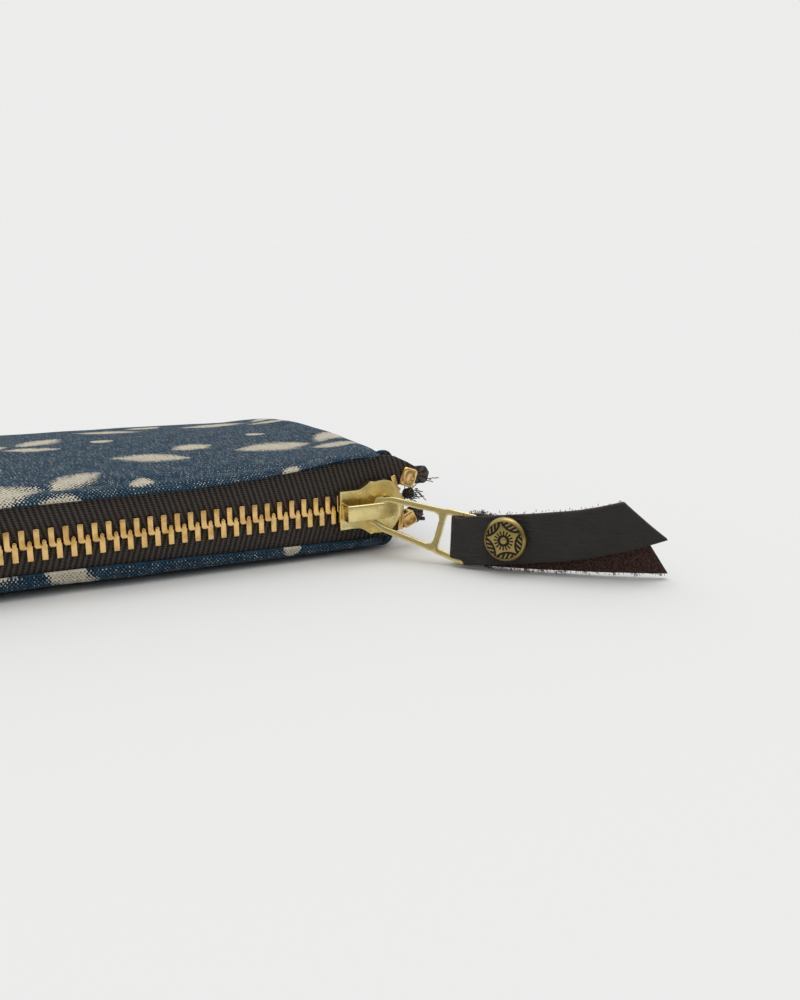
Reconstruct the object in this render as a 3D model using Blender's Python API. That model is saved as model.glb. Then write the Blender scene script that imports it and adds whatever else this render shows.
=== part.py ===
"""A slim padded cloth zip wallet, with a brass zip along its front and a leather tab on the pull.

Metres, +Z up. The origin is the centre of the flat underside. +X runs along the zip towards its closed
end, the zip faces -Y, and the back fold is at +Y.
"""

from math import cos, floor, pi, radians, sin, sqrt

import bmesh
import bpy
from mathutils import Matrix, Vector
from mathutils.geometry import interpolate_bezier

# Cloth body
WALLET_WIDTH = 0.150
WALLET_DEPTH = 0.100
CREST_HEIGHT = 0.0203
CREST_FROM_FRONT = 0.028
CREST_REACH = 0.4
SIDE_SEAM_HEIGHT = 0.0085
SIDE_ROLL = 0.009
PLAN_CORNER = 0.009
ROLL_COLUMNS = 5
SEAM_HEM = 0.0006
CORNER_STEP = 0.0004
FRONT_HEM = 0.0009
MOUTH_CORNER_CLOSE = 0.007
UNDERSIDE_TOE = 0.0060
UNDERSIDE_HEEL = 0.014
CLOTH_THICK = 0.0010
LINING_THICK = 0.0005
LINING_GAP = 0.0009
LINING_TALLEST = 0.0095
CLOTH_LAP = 0.0015

# Zip
ZIP_HEIGHT = 0.0096
TOOTH_PITCH = 0.0025
CHAIN_WIDTH = 0.00575
TOOTH_LENGTH = 0.0036
TOOTH_THICK = 0.0011
TOOTH_HEAD_THICK = 0.00095
TOOTH_HEAD_LENGTH = 0.0013
TOOTH_DEPTH = 0.0024
FIRST_TOOTH_GAP = 0.00085
CORD_SHARE = 0.35
CORD_WIDTH = 0.0012
CORD_DEPTH = 0.0010
TAPE_THICK = 0.0006
TAPE_TUCK = 0.0002
TAPE_PAST_STOP = 0.0026
TAPE_END_CUT = 0.0010
TAPE_END_RISE = 0.0020
TAPE_BY_CORNER = 0.0035
TAPE_CORNER_DROP = 0.0012
TAPE_NARROWEST = 0.0004
TAPE_START = 0.0007
UPPER_SEAM_LEFT = 0.0063
UPPER_SEAM_RIGHT = 0.0089
LOWER_SEAM_LEFT = 0.0055
LOWER_SEAM_RIGHT = 0.0069
SEAM_BEND_X = 0.012
ROW_SPREAD = 0.0024
MOUTH_START_SHARE = 0.23
MOUTH_FULL_SHARE = 0.29
UPPER_END_SLOPE = 0.28
LOWER_END_SLOPE = 0.12

# Stops
STOP_LENGTH = 0.0030
STOP_HEIGHT = 0.0033
STOP_DEPTH = 0.0030
STOP_FROM_END = 0.0041
LOWER_STOP_SHIFT = 0.0009
BOTTOM_STOP_FROM_END = 0.0135
BOTTOM_STOP_HEIGHT = 0.0060

# Slider
SLIDER_LENGTH = 0.0140
SLIDER_REAR_WIDTH = 0.0073
SLIDER_SHOULDER_WIDTH = 0.0107
SLIDER_NOSE_WIDTH = 0.0024
PLATE_THICK = 0.0010
FLANGE_THICK = 0.0005
DIVIDER_WIDTH = 0.0024
BRIDGE_LENGTH = 0.0111
BRIDGE_HEIGHT = 0.0027
BRIDGE_THICK = 0.0009
BRIDGE_WINDOW = 0.0020
BRIDGE_FORWARD = -0.0009

# Pull
PULL_BAR_DIAMETER = 0.0012
PULL_THICK = 0.0014
PULL_REACH = 0.0198
PULL_ROOT = 0.003
PULL_ROOT_WIDTH = 0.0070
PULL_END_WIDTH = 0.0100
PULL_LEG = 0.00085
PULL_END_BAR = 0.0012
CROSSBAR_FROM_BAR = 0.01345
CROSSBAR_WIDTH = 0.0011
GRIP_STEP = 0.0002
PULL_SWING = 45.0
PULL_DROOP = 17.5
PULL_HANG = 0.0003

# Leather tab
STRAP_WIDTH = 0.0094
STRAP_THICK = 0.0013
STRAP_FRONT_LENGTH = 0.0372
STRAP_REAR_LENGTH = 0.0373
FRONT_CUT = 0.0080
REAR_CUT = 0.0058
STRAP_HEADING = 48.0
STRAP_TURN_PER_M = 420.0
STRAP_LEAN = 8.0
STRAP_RISE = 0.12
STRAP_CURL = 6.5
STRAP_CURL_FROM = 0.016
STRAP_LIFT = 0.0002
FOLD_SHARE = 0.16
LOOP_SHARE = 0.296
PINCH_FROM = 0.0016
PINCH_LENGTH = 0.0036
NARROW_LENGTH = 0.0012
LEAN_LENGTH = 0.030
LOOP_INNER = 0.0024
FOLD_TRIM_TOP = 0.0010
FOLD_TRIM_BOTTOM = 0.0020
FULL_WIDTH_FROM = 0.0012
LOOP_STRAIGHT = 0.00105
RIVET_FROM_BAR = 0.0081
RIVET_DIAMETER = 0.0085
RIVET_DOME = 0.0017
RIVET_STEM = 0.0026
RIVET_BACK_DIAMETER = 0.0064
RIVET_PIN = 0.0012

# Running fits
GAP = 0.0003
SLIDE_GAP = 0.00035

FRONT_Y = -WALLET_DEPTH / 2
BACK_Y = WALLET_DEPTH / 2
TOP_STOP_X = WALLET_WIDTH / 2 - STOP_FROM_END
BOTTOM_STOP_X = BOTTOM_STOP_FROM_END - WALLET_WIDTH / 2
SLIDER_X = TOP_STOP_X - STOP_LENGTH / 2 - SLIDE_GAP - SLIDER_LENGTH / 2
MOUTH_START_X = SLIDER_X - MOUTH_START_SHARE * SLIDER_LENGTH
MOUTH_FULL_X = SLIDER_X + MOUTH_FULL_SHARE * SLIDER_LENGTH
PLATE_INSIDE = TOOTH_DEPTH / 2 + SLIDE_GAP
PLATE_OUTSIDE = PLATE_INSIDE + PLATE_THICK


def clear_scene():
    """Remove every object that the file opened with."""
    for thing in list(bpy.data.objects):
        bpy.data.objects.remove(thing, do_unlink=True)


def material(name, colour, roughness, metallic=0.0):
    """A Principled material of one colour."""
    made = bpy.data.materials.new(name)
    made.use_nodes = True
    shader = made.node_tree.nodes["Principled BSDF"]
    shader.inputs["Base Color"].default_value = (*colour, 1.0)
    shader.inputs["Roughness"].default_value = roughness
    shader.inputs["Metallic"].default_value = metallic
    return made


def add_object(name, bm, made, matrix=None):
    """Put a bmesh into the scene as one named object."""
    bmesh.ops.recalc_face_normals(bm, faces=bm.faces[:])
    mesh = bpy.data.meshes.new(name)
    bm.to_mesh(mesh)
    bm.free()
    thing = bpy.data.objects.new(name, mesh)
    bpy.context.scene.collection.objects.link(thing)
    if made:
        mesh.materials.append(made)
    if matrix:
        thing.matrix_world = matrix
    return thing


def add_cutter(name, bm, matrix=None):
    """A hidden helper solid that a Boolean reads."""
    thing = add_object(name, bm, None, matrix)
    thing.hide_render = True
    thing.display_type = "WIRE"
    return thing


def boolean(thing, other, operation):
    """Join or cut with another solid."""
    modifier = thing.modifiers.new(other.name, "BOOLEAN")
    modifier.operation = operation
    modifier.solver = "EXACT"
    modifier.object = other


def round_edges(thing, width, segments=2, angle=35.0):
    """Round the sharp edges of a solid."""
    modifier = thing.modifiers.new("edges", "BEVEL")
    modifier.width = width
    modifier.segments = segments
    modifier.limit_method = "ANGLE"
    modifier.angle_limit = radians(angle)


def prism(outline, low, high, axis="Y", bm=None):
    """A flat outline of (x, z) or (x, y) points pulled through from low to high along Y or Z."""
    bm = bm or bmesh.new()
    if axis == "Y":
        points = [Vector((x, low, z)) for x, z in outline]
        move = Vector((0, high - low, 0))
    else:
        points = [Vector((x, y, low)) for x, y in outline]
        move = Vector((0, 0, high - low))
    face = bm.faces.new([bm.verts.new(p) for p in points])
    pulled = bmesh.ops.extrude_face_region(bm, geom=[face])
    moved = [v for v in pulled["geom"] if isinstance(v, bmesh.types.BMVert)]
    bmesh.ops.translate(bm, verts=moved, vec=move)
    return bm


def smoothstep(value):
    """Ease from 0 to 1."""
    value = min(max(value, 0.0), 1.0)
    return value * value * (3 - 2 * value)


def mirrored(half):
    """A closed outline from its upper half, given from the rear to the nose."""
    return half + [(x, -z) for x, z in reversed(half) if abs(z) > 1e-9]


# Cloth body


def upper_seam(x):
    """Height of the upper cloth edge above the chain's middle."""
    share = smoothstep((x + SEAM_BEND_X) / (WALLET_WIDTH / 2 + SEAM_BEND_X))
    return UPPER_SEAM_LEFT + (UPPER_SEAM_RIGHT - UPPER_SEAM_LEFT) * share


def lower_seam(x):
    """Depth of the lower cloth edge below the chain's middle."""
    share = smoothstep((x + SEAM_BEND_X) / (WALLET_WIDTH / 2 + SEAM_BEND_X))
    return LOWER_SEAM_LEFT + (LOWER_SEAM_RIGHT - LOWER_SEAM_LEFT) * share


def along(knots, share):
    """The point at a share from 0 to 1 of a chain of Bezier stretches, each with an equal part."""
    stretches = len(knots)
    place = min(int(share * stretches), stretches - 1)
    steps = 33
    points = interpolate_bezier(*knots[place], steps)
    spot = (share * stretches - place) * (steps - 1)
    low = min(int(spot), steps - 2)
    return points[low].lerp(points[low + 1], spot - low)


def upper_section(x, share):
    """The upper half's outline at x, from its front edge over the crest to the back seam."""
    start = Vector((FRONT_Y - CLOTH_LAP, ZIP_HEIGHT + upper_seam(x) + FRONT_HEM))
    crest = Vector((FRONT_Y + CREST_FROM_FRONT, CREST_HEIGHT))
    end = Vector((BACK_Y, SIDE_SEAM_HEIGHT + GAP / 2))
    climb, reach, rest = crest.y - start.y, crest.x - start.x, end.x - crest.x
    knots = [
        (start, start + Vector((0, 0.62 * climb)), crest - Vector((0.55 * reach, 0)), crest),
        (crest, crest + Vector((CREST_REACH * rest, 0)), end + Vector((0, 0.62 * (crest.y - end.y))), end),
    ]
    return along(knots, share)


def lower_section(x, share):
    """The lower half's outline at x, from its front edge under to the back seam."""
    start = Vector((FRONT_Y - CLOTH_LAP, ZIP_HEIGHT - lower_seam(x) - FRONT_HEM))
    toe = Vector((FRONT_Y + UNDERSIDE_TOE, 0.0))
    heel = Vector((BACK_Y - UNDERSIDE_HEEL, 0.0))
    end = Vector((BACK_Y, SIDE_SEAM_HEIGHT - GAP / 2))
    run = heel - toe
    knots = [
        (start, start - Vector((0, 0.6 * start.y)), toe - Vector((0.55 * (toe.x - start.x), 0)), toe),
        (toe, toe + run / 3, heel - run / 3, heel),
        (heel, heel + Vector((0.6 * (end.x - heel.x), 0)), end - Vector((0, 0.6 * end.y)), end),
    ]
    return along(knots, share)


def half_width(y):
    """Half the cloth's width at a depth, with its plan corners rounded."""
    from_edge = min(y - FRONT_Y, BACK_Y - y)
    short = max(0.0, 1 - max(from_edge, 0.0) / PLAN_CORNER)
    return WALLET_WIDTH / 2 - PLAN_CORNER * (1 - sqrt(max(0.0, 1 - short * short)))


def cloth_half(name, section, columns, rows, inset, thick, made):
    """One cloth half: a grid laid on the outer face, shrunk by inset, then given its thickness inwards."""
    turn = 1 if section is upper_section else -1
    seam = SIDE_SEAM_HEIGHT + turn * GAP / 2
    bm = bmesh.new()
    bmesh.ops.create_grid(bm, x_segments=columns, y_segments=rows, size=1.0)
    flat_half = WALLET_WIDTH / 2 - SIDE_ROLL
    for vert in bm.verts:
        column, row = round((vert.co.x + 1) / 2 * columns), round((vert.co.y + 1) / 2 * rows)
        side = -1 if column < columns / 2 else 1
        from_side = min(column, columns - column)
        share = min(max((row - 1) / (rows - 2), 0.0), 1.0)
        roll = min(max(0, ROLL_COLUMNS + 1 - from_side) / ROLL_COLUMNS, 1.0) * pi / 2
        flat = min((columns / 2 - from_side) / (columns / 2 - ROLL_COLUMNS - 1), 1.0)
        reach = flat * flat_half + SIDE_ROLL * sin(roll)
        place = section(side * reach, share)
        shrink = half_width(place.x) / (WALLET_WIDTH / 2)
        closing = smoothstep((place.x - FRONT_Y) / MOUTH_CORNER_CLOSE)
        full = turn * (place.y - seam) - (FRONT_HEM if row == 0 else 0.0)
        if row == rows:
            height = 0.0
        elif from_side == 0:
            reach += CORNER_STEP * (1 - closing)
            height = max(0.0, (full - SEAM_HEM) * (1 - closing))
        else:
            hold = 1 - (1 - cos(roll)) * closing
            height = max(full * hold + SEAM_HEM * closing * (1 - hold), SEAM_HEM * closing)
        vert.co = (side * reach * shrink, place.x, seam + turn * height)
    bmesh.ops.remove_doubles(bm, verts=bm.verts[:], dist=1e-6)
    if turn < 0:
        bmesh.ops.reverse_faces(bm, faces=bm.faces[:])
    bm.normal_update()
    if inset:
        front, tallest = FRONT_Y - CLOTH_LAP, (LINING_TALLEST if turn > 0 else seam)
        behind_slider = FRONT_Y + PLATE_OUTSIDE + SLIDE_GAP
        for vert in bm.verts:
            back = (vert.co.y - front) / (BACK_Y - front)
            vert.co = (
                vert.co.x * (1 - inset / (WALLET_WIDTH / 2)),
                behind_slider + back * (BACK_Y - inset - behind_slider),
                seam + (vert.co.z - seam) * (1 - inset / tallest),
            )
    mesh = bpy.data.meshes.new(name)
    bm.to_mesh(mesh)
    bm.free()
    mesh.shade_smooth()
    mesh.materials.append(made)
    thing = bpy.data.objects.new(name, mesh)
    bpy.context.scene.collection.objects.link(thing)
    solid = thing.modifiers.new("thickness", "SOLIDIFY")
    solid.thickness = thick
    solid.offset = -1.0
    return thing


# Zip rows and tapes


def spread(x, end_slope):
    """How far a row has left the chain's middle at x: nothing behind the slider, full in its mouth."""
    parted = smoothstep((x - MOUTH_START_X) / (MOUTH_FULL_X - MOUTH_START_X))
    return ROW_SPREAD * parted + end_slope * max(0.0, x - MOUTH_FULL_X)


def tooth_places(lower):
    """X of each tooth of a row, from the closed end back to the bottom stop."""
    first = TOP_STOP_X - STOP_LENGTH / 2 - TOOTH_THICK / 2 - FIRST_TOOTH_GAP
    first += TOOTH_PITCH / 2 if lower else 0.0
    last = BOTTOM_STOP_X + STOP_LENGTH / 2 + GAP + TOOTH_THICK / 2
    return [first - TOOTH_PITCH * i for i in range(floor((first - last) / TOOTH_PITCH) + 1)]


def teeth_row(name, side, end_slope, made):
    """One row of teeth on the cord that carries them. side is 1 for the upper row and -1 for the lower."""
    outer, tip = CHAIN_WIDTH / 2, CHAIN_WIDTH / 2 - TOOTH_LENGTH
    cord_low = outer - CORD_SHARE * TOOTH_LENGTH - CORD_WIDTH / 2
    places = tooth_places(side < 0)
    start, end = places[-1], places[0]
    bends = [start] + [MOUTH_START_X + (end - MOUTH_START_X) * i / 8 for i in range(9)]
    cord = [(x, side * (cord_low + spread(x, end_slope))) for x in bends]
    cord += [(x, side * (cord_low + CORD_WIDTH + spread(x, end_slope))) for x in reversed(bends)]
    bm = prism([(x, ZIP_HEIGHT + z) for x, z in cord], FRONT_Y - CORD_DEPTH / 2, FRONT_Y + CORD_DEPTH / 2)
    row = add_object(name, bm, made)

    body, head = TOOTH_THICK / 2, TOOTH_HEAD_THICK / 2
    neck = tip + TOOTH_HEAD_LENGTH
    shape = [(-body, outer), (-body, neck), (-head, neck - body), (-head * 0.6, tip)]
    shape += [(-x, z) for x, z in reversed(shape)]
    teeth = bmesh.new()
    for x in places:
        moved = [(x + dx, ZIP_HEIGHT + side * (z + spread(x, end_slope))) for dx, z in shape]
        prism(moved, FRONT_Y - TOOTH_DEPTH / 2, FRONT_Y + TOOTH_DEPTH / 2, bm=teeth)
    boolean(row, add_cutter(name + "_loose", teeth), "UNION")
    return row


def tape(name, side, seam, end_slope, stop_x, made):
    """One tape: from just outside its teeth to behind the cloth, with a free end past the side."""
    inner = CHAIN_WIDTH / 2 + GAP
    start = BOTTOM_STOP_X - STOP_LENGTH / 2 - TAPE_START
    stop_edge = stop_x - STOP_LENGTH / 2 - GAP
    bends = [start] + [MOUTH_START_X + (stop_edge - MOUTH_START_X) * i / 8 for i in range(9)]
    edge = [(x, inner + spread(x, end_slope)) for x in bends]
    in_stop = stop_height(side, end_slope, stop_x)
    end = stop_x + STOP_LENGTH / 2 + TAPE_PAST_STOP
    edge += [(stop_edge, in_stop), (end - TAPE_END_CUT, in_stop), (end, in_stop + TAPE_END_CUT)]
    edge += [(end - TAPE_END_CUT / 2, in_stop + TAPE_END_RISE)]
    corner = WALLET_WIDTH / 2 - PLAN_CORNER
    clear = seam(corner) - SEAM_HEM - 2 * GAP
    for x, drop in ((corner + TAPE_BY_CORNER, TAPE_CORNER_DROP), (corner - TAPE_END_CUT, 0.0)):
        edge.append((x, max(clear - drop, inner + spread(x, end_slope) + TAPE_NARROWEST)))
    tucked = corner - 2 * TAPE_END_CUT
    tuck = [tucked + (start - tucked) * i / 6 for i in range(7)]
    edge += [(x, seam(x) + TAPE_TUCK) for x in tuck]
    outline = [(x, ZIP_HEIGHT + side * z) for x, z in edge]
    return add_object(name, prism(outline, FRONT_Y - TAPE_THICK / 2, FRONT_Y + TAPE_THICK / 2), made)


def stop_height(side, end_slope, stop_x):
    """Height of a top stop's middle above or below the chain's middle, in line with its row."""
    return CHAIN_WIDTH / 2 - TOOTH_LENGTH / 2 + spread(stop_x, end_slope)


def top_stop(name, side, end_slope, stop_x, made):
    """A stop clamped on the free end of a tape: a block with a slot for the tape's edge."""
    middle = ZIP_HEIGHT + side * stop_height(side, end_slope, stop_x)
    bm = bmesh.new()
    bmesh.ops.create_cube(bm, size=1.0)
    bmesh.ops.scale(bm, vec=(STOP_LENGTH, STOP_DEPTH, STOP_HEIGHT), verts=bm.verts[:])
    place = Matrix.Translation((stop_x, FRONT_Y, middle))
    block = add_object(name, bm, made, place)
    slot = bmesh.new()
    bmesh.ops.create_cube(slot, size=1.0)
    deep = STOP_HEIGHT / 2 + GAP
    bmesh.ops.scale(slot, vec=(2 * STOP_LENGTH, TAPE_THICK + 2 * GAP, 2 * deep), verts=slot.verts[:])
    bmesh.ops.translate(slot, vec=(0, 0, side * (deep - GAP)), verts=slot.verts[:])
    boolean(block, add_cutter(name + "_slot", slot, place), "DIFFERENCE")
    return block


def bottom_stop(made):
    """The stop that holds both rows together at the far end."""
    bm = bmesh.new()
    bmesh.ops.create_cube(bm, size=1.0)
    bmesh.ops.scale(bm, vec=(STOP_LENGTH, STOP_DEPTH, BOTTOM_STOP_HEIGHT), verts=bm.verts[:])
    block = add_object("bottom_stop", bm, made, Matrix.Translation((BOTTOM_STOP_X, FRONT_Y, ZIP_HEIGHT)))
    for side in (-1, 1):
        slot = bmesh.new()
        bmesh.ops.create_cube(slot, size=1.0)
        bmesh.ops.scale(slot, vec=(2 * STOP_LENGTH, TAPE_THICK + 2 * GAP, STOP_DEPTH), verts=slot.verts[:])
        bmesh.ops.translate(slot, vec=(0, 0, side * (CHAIN_WIDTH + STOP_DEPTH) / 2), verts=slot.verts[:])
        name = "bottom_slot_" + ("low" if side < 0 else "high")
        boolean(block, add_cutter(name, slot, block.matrix_world.copy()), "DIFFERENCE")
    return block


# Slider


def slider_half_outline():
    """The upper half of the slider plate's outline, from its rear edge to its nose."""
    rear, nose = -SLIDER_LENGTH / 2, SLIDER_LENGTH / 2
    low, high, tip = SLIDER_REAR_WIDTH / 2, SLIDER_SHOULDER_WIDTH / 2, SLIDER_NOSE_WIDTH / 2
    shoulder = rear + 0.475 * SLIDER_LENGTH
    return [
        (rear, 0.0),
        (rear, low),
        (rear + 0.30 * SLIDER_LENGTH, low),
        (rear + 0.385 * SLIDER_LENGTH, low + 0.3 * (high - low)),
        (shoulder, high),
        (shoulder + 0.03 * SLIDER_LENGTH, high - 0.0003),
        (nose - 0.235 * SLIDER_LENGTH, high - 0.0003),
        (nose - 0.15 * SLIDER_LENGTH, 0.85 * high),
        (nose - 0.06 * SLIDER_LENGTH, 0.55 * high),
        (nose, tip),
        (nose, 0.0),
    ]


def slider_body(made):
    """Two plates with bent-in flanges, joined by the divider that parts the rows."""
    half = slider_half_outline()
    place = Matrix.Translation((SLIDER_X, FRONT_Y, ZIP_HEIGHT))
    body = add_object("slider_body", prism(mirrored(half), -PLATE_OUTSIDE, -PLATE_INSIDE), made, place)
    back = prism(mirrored(half), PLATE_INSIDE, PLATE_OUTSIDE)
    tape_gap = TAPE_THICK / 2 + SLIDE_GAP
    sink = PLATE_THICK / 3
    flanges = bmesh.new()
    for side in (-1, 1):
        run = [(x, side * z) for x, z in half[1:5]]
        strip = run + [(x, z - side * FLANGE_THICK) for x, z in reversed(run)]
        prism(strip, -PLATE_INSIDE - sink, -tape_gap, bm=flanges)
        prism(strip, tape_gap, PLATE_INSIDE + sink, bm=flanges)
    nose = SLIDER_LENGTH / 2
    wide = DIVIDER_WIDTH / 2
    wedge = [(0.11 * SLIDER_LENGTH, 0.0), (0.15 * SLIDER_LENGTH, 0.3 * wide)]
    wedge += [(nose - 0.0008, wide), (nose - 0.0003, 0.7 * wide)]
    divider = prism(mirrored(wedge), -PLATE_INSIDE - sink, PLATE_INSIDE + sink)
    boolean(body, add_cutter("slider_divider", divider, place), "UNION")
    boolean(body, add_cutter("slider_back_plate", back, place), "UNION")
    boolean(body, add_cutter("slider_flanges", flanges, place), "UNION")
    return body


def slider_bridge(made):
    """The stamped strap over the front plate, which holds the pull's bar."""
    seat, inside = -PLATE_OUTSIDE - GAP, -PLATE_OUTSIDE - BRIDGE_WINDOW
    face = inside - BRIDGE_THICK
    rear, front = BRIDGE_FORWARD - BRIDGE_LENGTH / 2, BRIDGE_FORWARD + BRIDGE_LENGTH / 2
    leg, chamfer = 1.2 * BRIDGE_THICK, 0.5 * BRIDGE_THICK
    outline = [
        (rear, seat),
        (rear, face + chamfer),
        (rear + chamfer, face),
        (front - chamfer, face),
        (front, face + chamfer),
        (front, seat),
        (front - leg, seat),
        (front - leg, inside),
        (rear + leg, inside),
        (rear + leg, seat),
    ]
    place = Matrix.Translation((SLIDER_X, FRONT_Y, ZIP_HEIGHT))
    bridge = add_object("slider_bridge", prism(outline, -BRIDGE_HEIGHT / 2, BRIDGE_HEIGHT / 2, "Z"), made, place)
    round_edges(bridge, 0.00018)
    return bridge


# Pull


def pull_frame():
    """The pull's axes at rest: along it, across it up the bar, and through it away from the zip."""
    swing, droop = radians(PULL_SWING), radians(PULL_DROOP)
    length = Vector((cos(swing) * cos(droop), -sin(swing), -cos(swing) * sin(droop)))
    bar = Vector((sin(droop), 0.0, cos(droop)))
    return length, bar.cross(length), bar


def pull_matrix():
    """Where the pull stands: its origin is the middle of the bar under the bridge."""
    length, through, bar = pull_frame()
    turn = Matrix((length, through, bar)).transposed().to_4x4()
    centre = -PLATE_OUTSIDE - BRIDGE_WINDOW / 2
    return Matrix.Translation((SLIDER_X, FRONT_Y + centre, ZIP_HEIGHT - PULL_HANG)) @ turn


def leg_outside(u):
    """Half the pull's width at a distance from its bar, without the grip's step."""
    share = (u - PULL_ROOT) / (PULL_REACH - PULL_ROOT)
    return (PULL_ROOT_WIDTH + (PULL_END_WIDTH - 2 * GRIP_STEP - PULL_ROOT_WIDTH) * share) / 2


def pull(made):
    """An open frame that widens from the bar under the bridge to the bar in the leather."""
    bar, tip = PULL_BAR_DIAMETER / 2, PULL_REACH + PULL_END_BAR / 2
    neck = BRIDGE_HEIGHT / 2 + 0.0006
    grip = CROSSBAR_FROM_BAR + CROSSBAR_WIDTH / 2
    half = [
        (-0.8 * bar, 0.0),
        (-0.8 * bar, neck + 0.3 * PULL_LEG),
        (0.3 * bar, neck + PULL_LEG),
        (0.0026, leg_outside(0.0026)),
        (grip, leg_outside(grip)),
        (grip + GRIP_STEP, leg_outside(grip) + GRIP_STEP),
        (tip - 0.0005, leg_outside(tip) + GRIP_STEP),
        (tip, leg_outside(tip) + GRIP_STEP - 0.0005),
        (tip, 0.0),
    ]
    frame = add_object("pull", prism(mirrored(half), -PULL_THICK / 2, PULL_THICK / 2), made, pull_matrix())
    near, far = bar, CROSSBAR_FROM_BAR - CROSSBAR_WIDTH / 2
    bend, corner = 0.0032, 0.0009
    window = [
        (near, 0.0),
        (near, neck),
        (bend, leg_outside(bend) - PULL_LEG),
        (far - corner, leg_outside(far) - PULL_LEG),
        (far, leg_outside(far) - PULL_LEG - corner),
        (far, 0.0),
    ]
    end = PULL_REACH - PULL_END_BAR / 2
    slot = [
        (grip, 0.0),
        (grip, leg_outside(grip) - PULL_LEG),
        (end, leg_outside(end) - PULL_LEG),
        (end, 0.0),
    ]
    for name, shape in (("pull_window", window), ("pull_slot", slot)):
        cutter = prism(mirrored(shape), -PULL_THICK, PULL_THICK)
        boolean(frame, add_cutter(name, cutter, pull_matrix()), "DIFFERENCE")
    round_edges(frame, 0.00018, segments=1, angle=60.0)
    return frame


# Leather tab


def tab_matrix():
    """The tab's axes at rest, level along its heading, from the middle of the pull's end bar."""
    length, _, _ = pull_frame()
    heading = radians(STRAP_HEADING)
    along_strap, back = Vector((cos(heading), -sin(heading), 0)), Vector((sin(heading), cos(heading), 0))
    turn = Matrix((along_strap, back, Vector((0, 0, 1)))).transposed().to_4x4()
    bar_end = pull_matrix().translation + length * PULL_REACH
    return Matrix.Translation(bar_end) @ turn


def strap_mid(front, s):
    """The strap's middle line at s from the bar: how far back, how high, and its lean, in the tab's axes."""
    open_half = LOOP_INNER / 2 + STRAP_THICK / 2
    bend = radians(STRAP_TURN_PER_M) * s * s / 2 * (s > 0)
    if front:
        back = -open_half
        up = STRAP_LIFT + STRAP_RISE * max(s, 0) + STRAP_CURL * max(0.0, s - STRAP_CURL_FROM) ** 2
    else:
        pinched = -open_half + STRAP_THICK + GAP
        back = open_half + (pinched - open_half) * smoothstep((s - PINCH_FROM) / PINCH_LENGTH)
        up = 0.0
    lean = radians(STRAP_LEAN) * (1 - smoothstep(s / LEAN_LENGTH))
    return back + bend, up, lean


def strap_point(share, height):
    """A point of the strap's middle sheet. share runs -1 at the rear tail, 0 at the fold, 1 at the front tail."""
    front = share >= 0
    radius = LOOP_INNER / 2 + STRAP_THICK / 2
    level = (height + 1) / 2
    if abs(share) < FOLD_SHARE:
        angle = share / FOLD_SHARE * pi / 2
        low = -STRAP_WIDTH / 2 + FOLD_TRIM_BOTTOM
        high = STRAP_WIDTH / 2 - FOLD_TRIM_TOP
        _, up, lean = strap_mid(front, 0.0)
        up *= abs(sin(angle))
        z = low + (high - low) * level
        out = radius * cos(angle)
        return Vector((-LOOP_STRAIGHT - out, -radius * sin(angle) + z * sin(lean), up + z * cos(lean)))
    reach = STRAP_FRONT_LENGTH - FRONT_CUT * level if front else STRAP_REAR_LENGTH - REAR_CUT * level
    part = (abs(share) - FOLD_SHARE) / (1 - FOLD_SHARE)
    s = -LOOP_STRAIGHT + (reach + LOOP_STRAIGHT) * part
    narrow = 1 - smoothstep((s - FULL_WIDTH_FROM) / NARROW_LENGTH)
    low = -STRAP_WIDTH / 2 + FOLD_TRIM_BOTTOM * narrow
    high = STRAP_WIDTH / 2 - FOLD_TRIM_TOP * narrow
    z = low + (high - low) * level
    back, up, lean = strap_mid(front, s)
    return Vector((s, back + z * sin(lean), up + z * cos(lean)))


def strap_columns():
    """Shares along the strap, close together at the fold and the loop."""
    fold = [FOLD_SHARE * i / 3 for i in range(1, 4)]
    tight = [FOLD_SHARE + (LOOP_SHARE - FOLD_SHARE) * i / 8 for i in range(1, 9)]
    tail = [LOOP_SHARE + (1 - LOOP_SHARE) * i / 11 for i in range(1, 12)]
    positive = fold + tight + tail
    return [-v for v in reversed(positive)] + [0.0] + positive


def rivet_matrix():
    """The rivet's axes: its front points out of the strap's front face, from the strap's middle there."""
    back, up, lean = strap_mid(True, RIVET_FROM_BAR)
    place = tab_matrix() @ Matrix.Translation((RIVET_FROM_BAR, back, up))
    return place @ Matrix.Rotation(-lean, 4, "X") @ Matrix.Rotation(radians(90), 4, "X")


def leather_tab(made):
    """One strip folded through the pull's end, with both tails cut on the slant."""
    columns = strap_columns()
    rows = 4
    bm = bmesh.new()
    bmesh.ops.create_grid(bm, x_segments=len(columns) - 1, y_segments=rows, size=1.0)
    step = 2 / (len(columns) - 1)
    for vert in bm.verts:
        share = columns[round((vert.co.x + 1) / step)]
        vert.co = strap_point(share, vert.co.y)
    strip = add_object("leather_tab", bm, made, tab_matrix())
    solid = strip.modifiers.new("thickness", "SOLIDIFY")
    solid.thickness = STRAP_THICK
    solid.offset = 0.0
    solid.use_even_offset = True
    hole = bmesh.new()
    wide = RIVET_STEM / 2 + GAP
    bmesh.ops.create_cone(hole, cap_ends=True, segments=16, radius1=wide, radius2=wide, depth=0.012)
    off_grid = Matrix.Rotation(radians(6), 4, "Z")
    boolean(strip, add_cutter("rivet_hole", hole, rivet_matrix() @ off_grid), "DIFFERENCE")
    return strip


def turned(profile, segments=24):
    """A solid turned about Z from a closed (radius, z) outline whose ends are on the axis."""
    bm = bmesh.new()
    verts = [bm.verts.new((r, 0, z)) for r, z in profile]
    edges = [bm.edges.new(pair) for pair in zip(verts, verts[1:])]
    bmesh.ops.spin(bm, geom=verts + edges, cent=(0, 0, 0), axis=(0, 0, 1), angle=2 * pi, steps=segments, use_merge=True)
    bmesh.ops.remove_doubles(bm, verts=bm.verts[:], dist=1e-6)
    return bm


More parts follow.
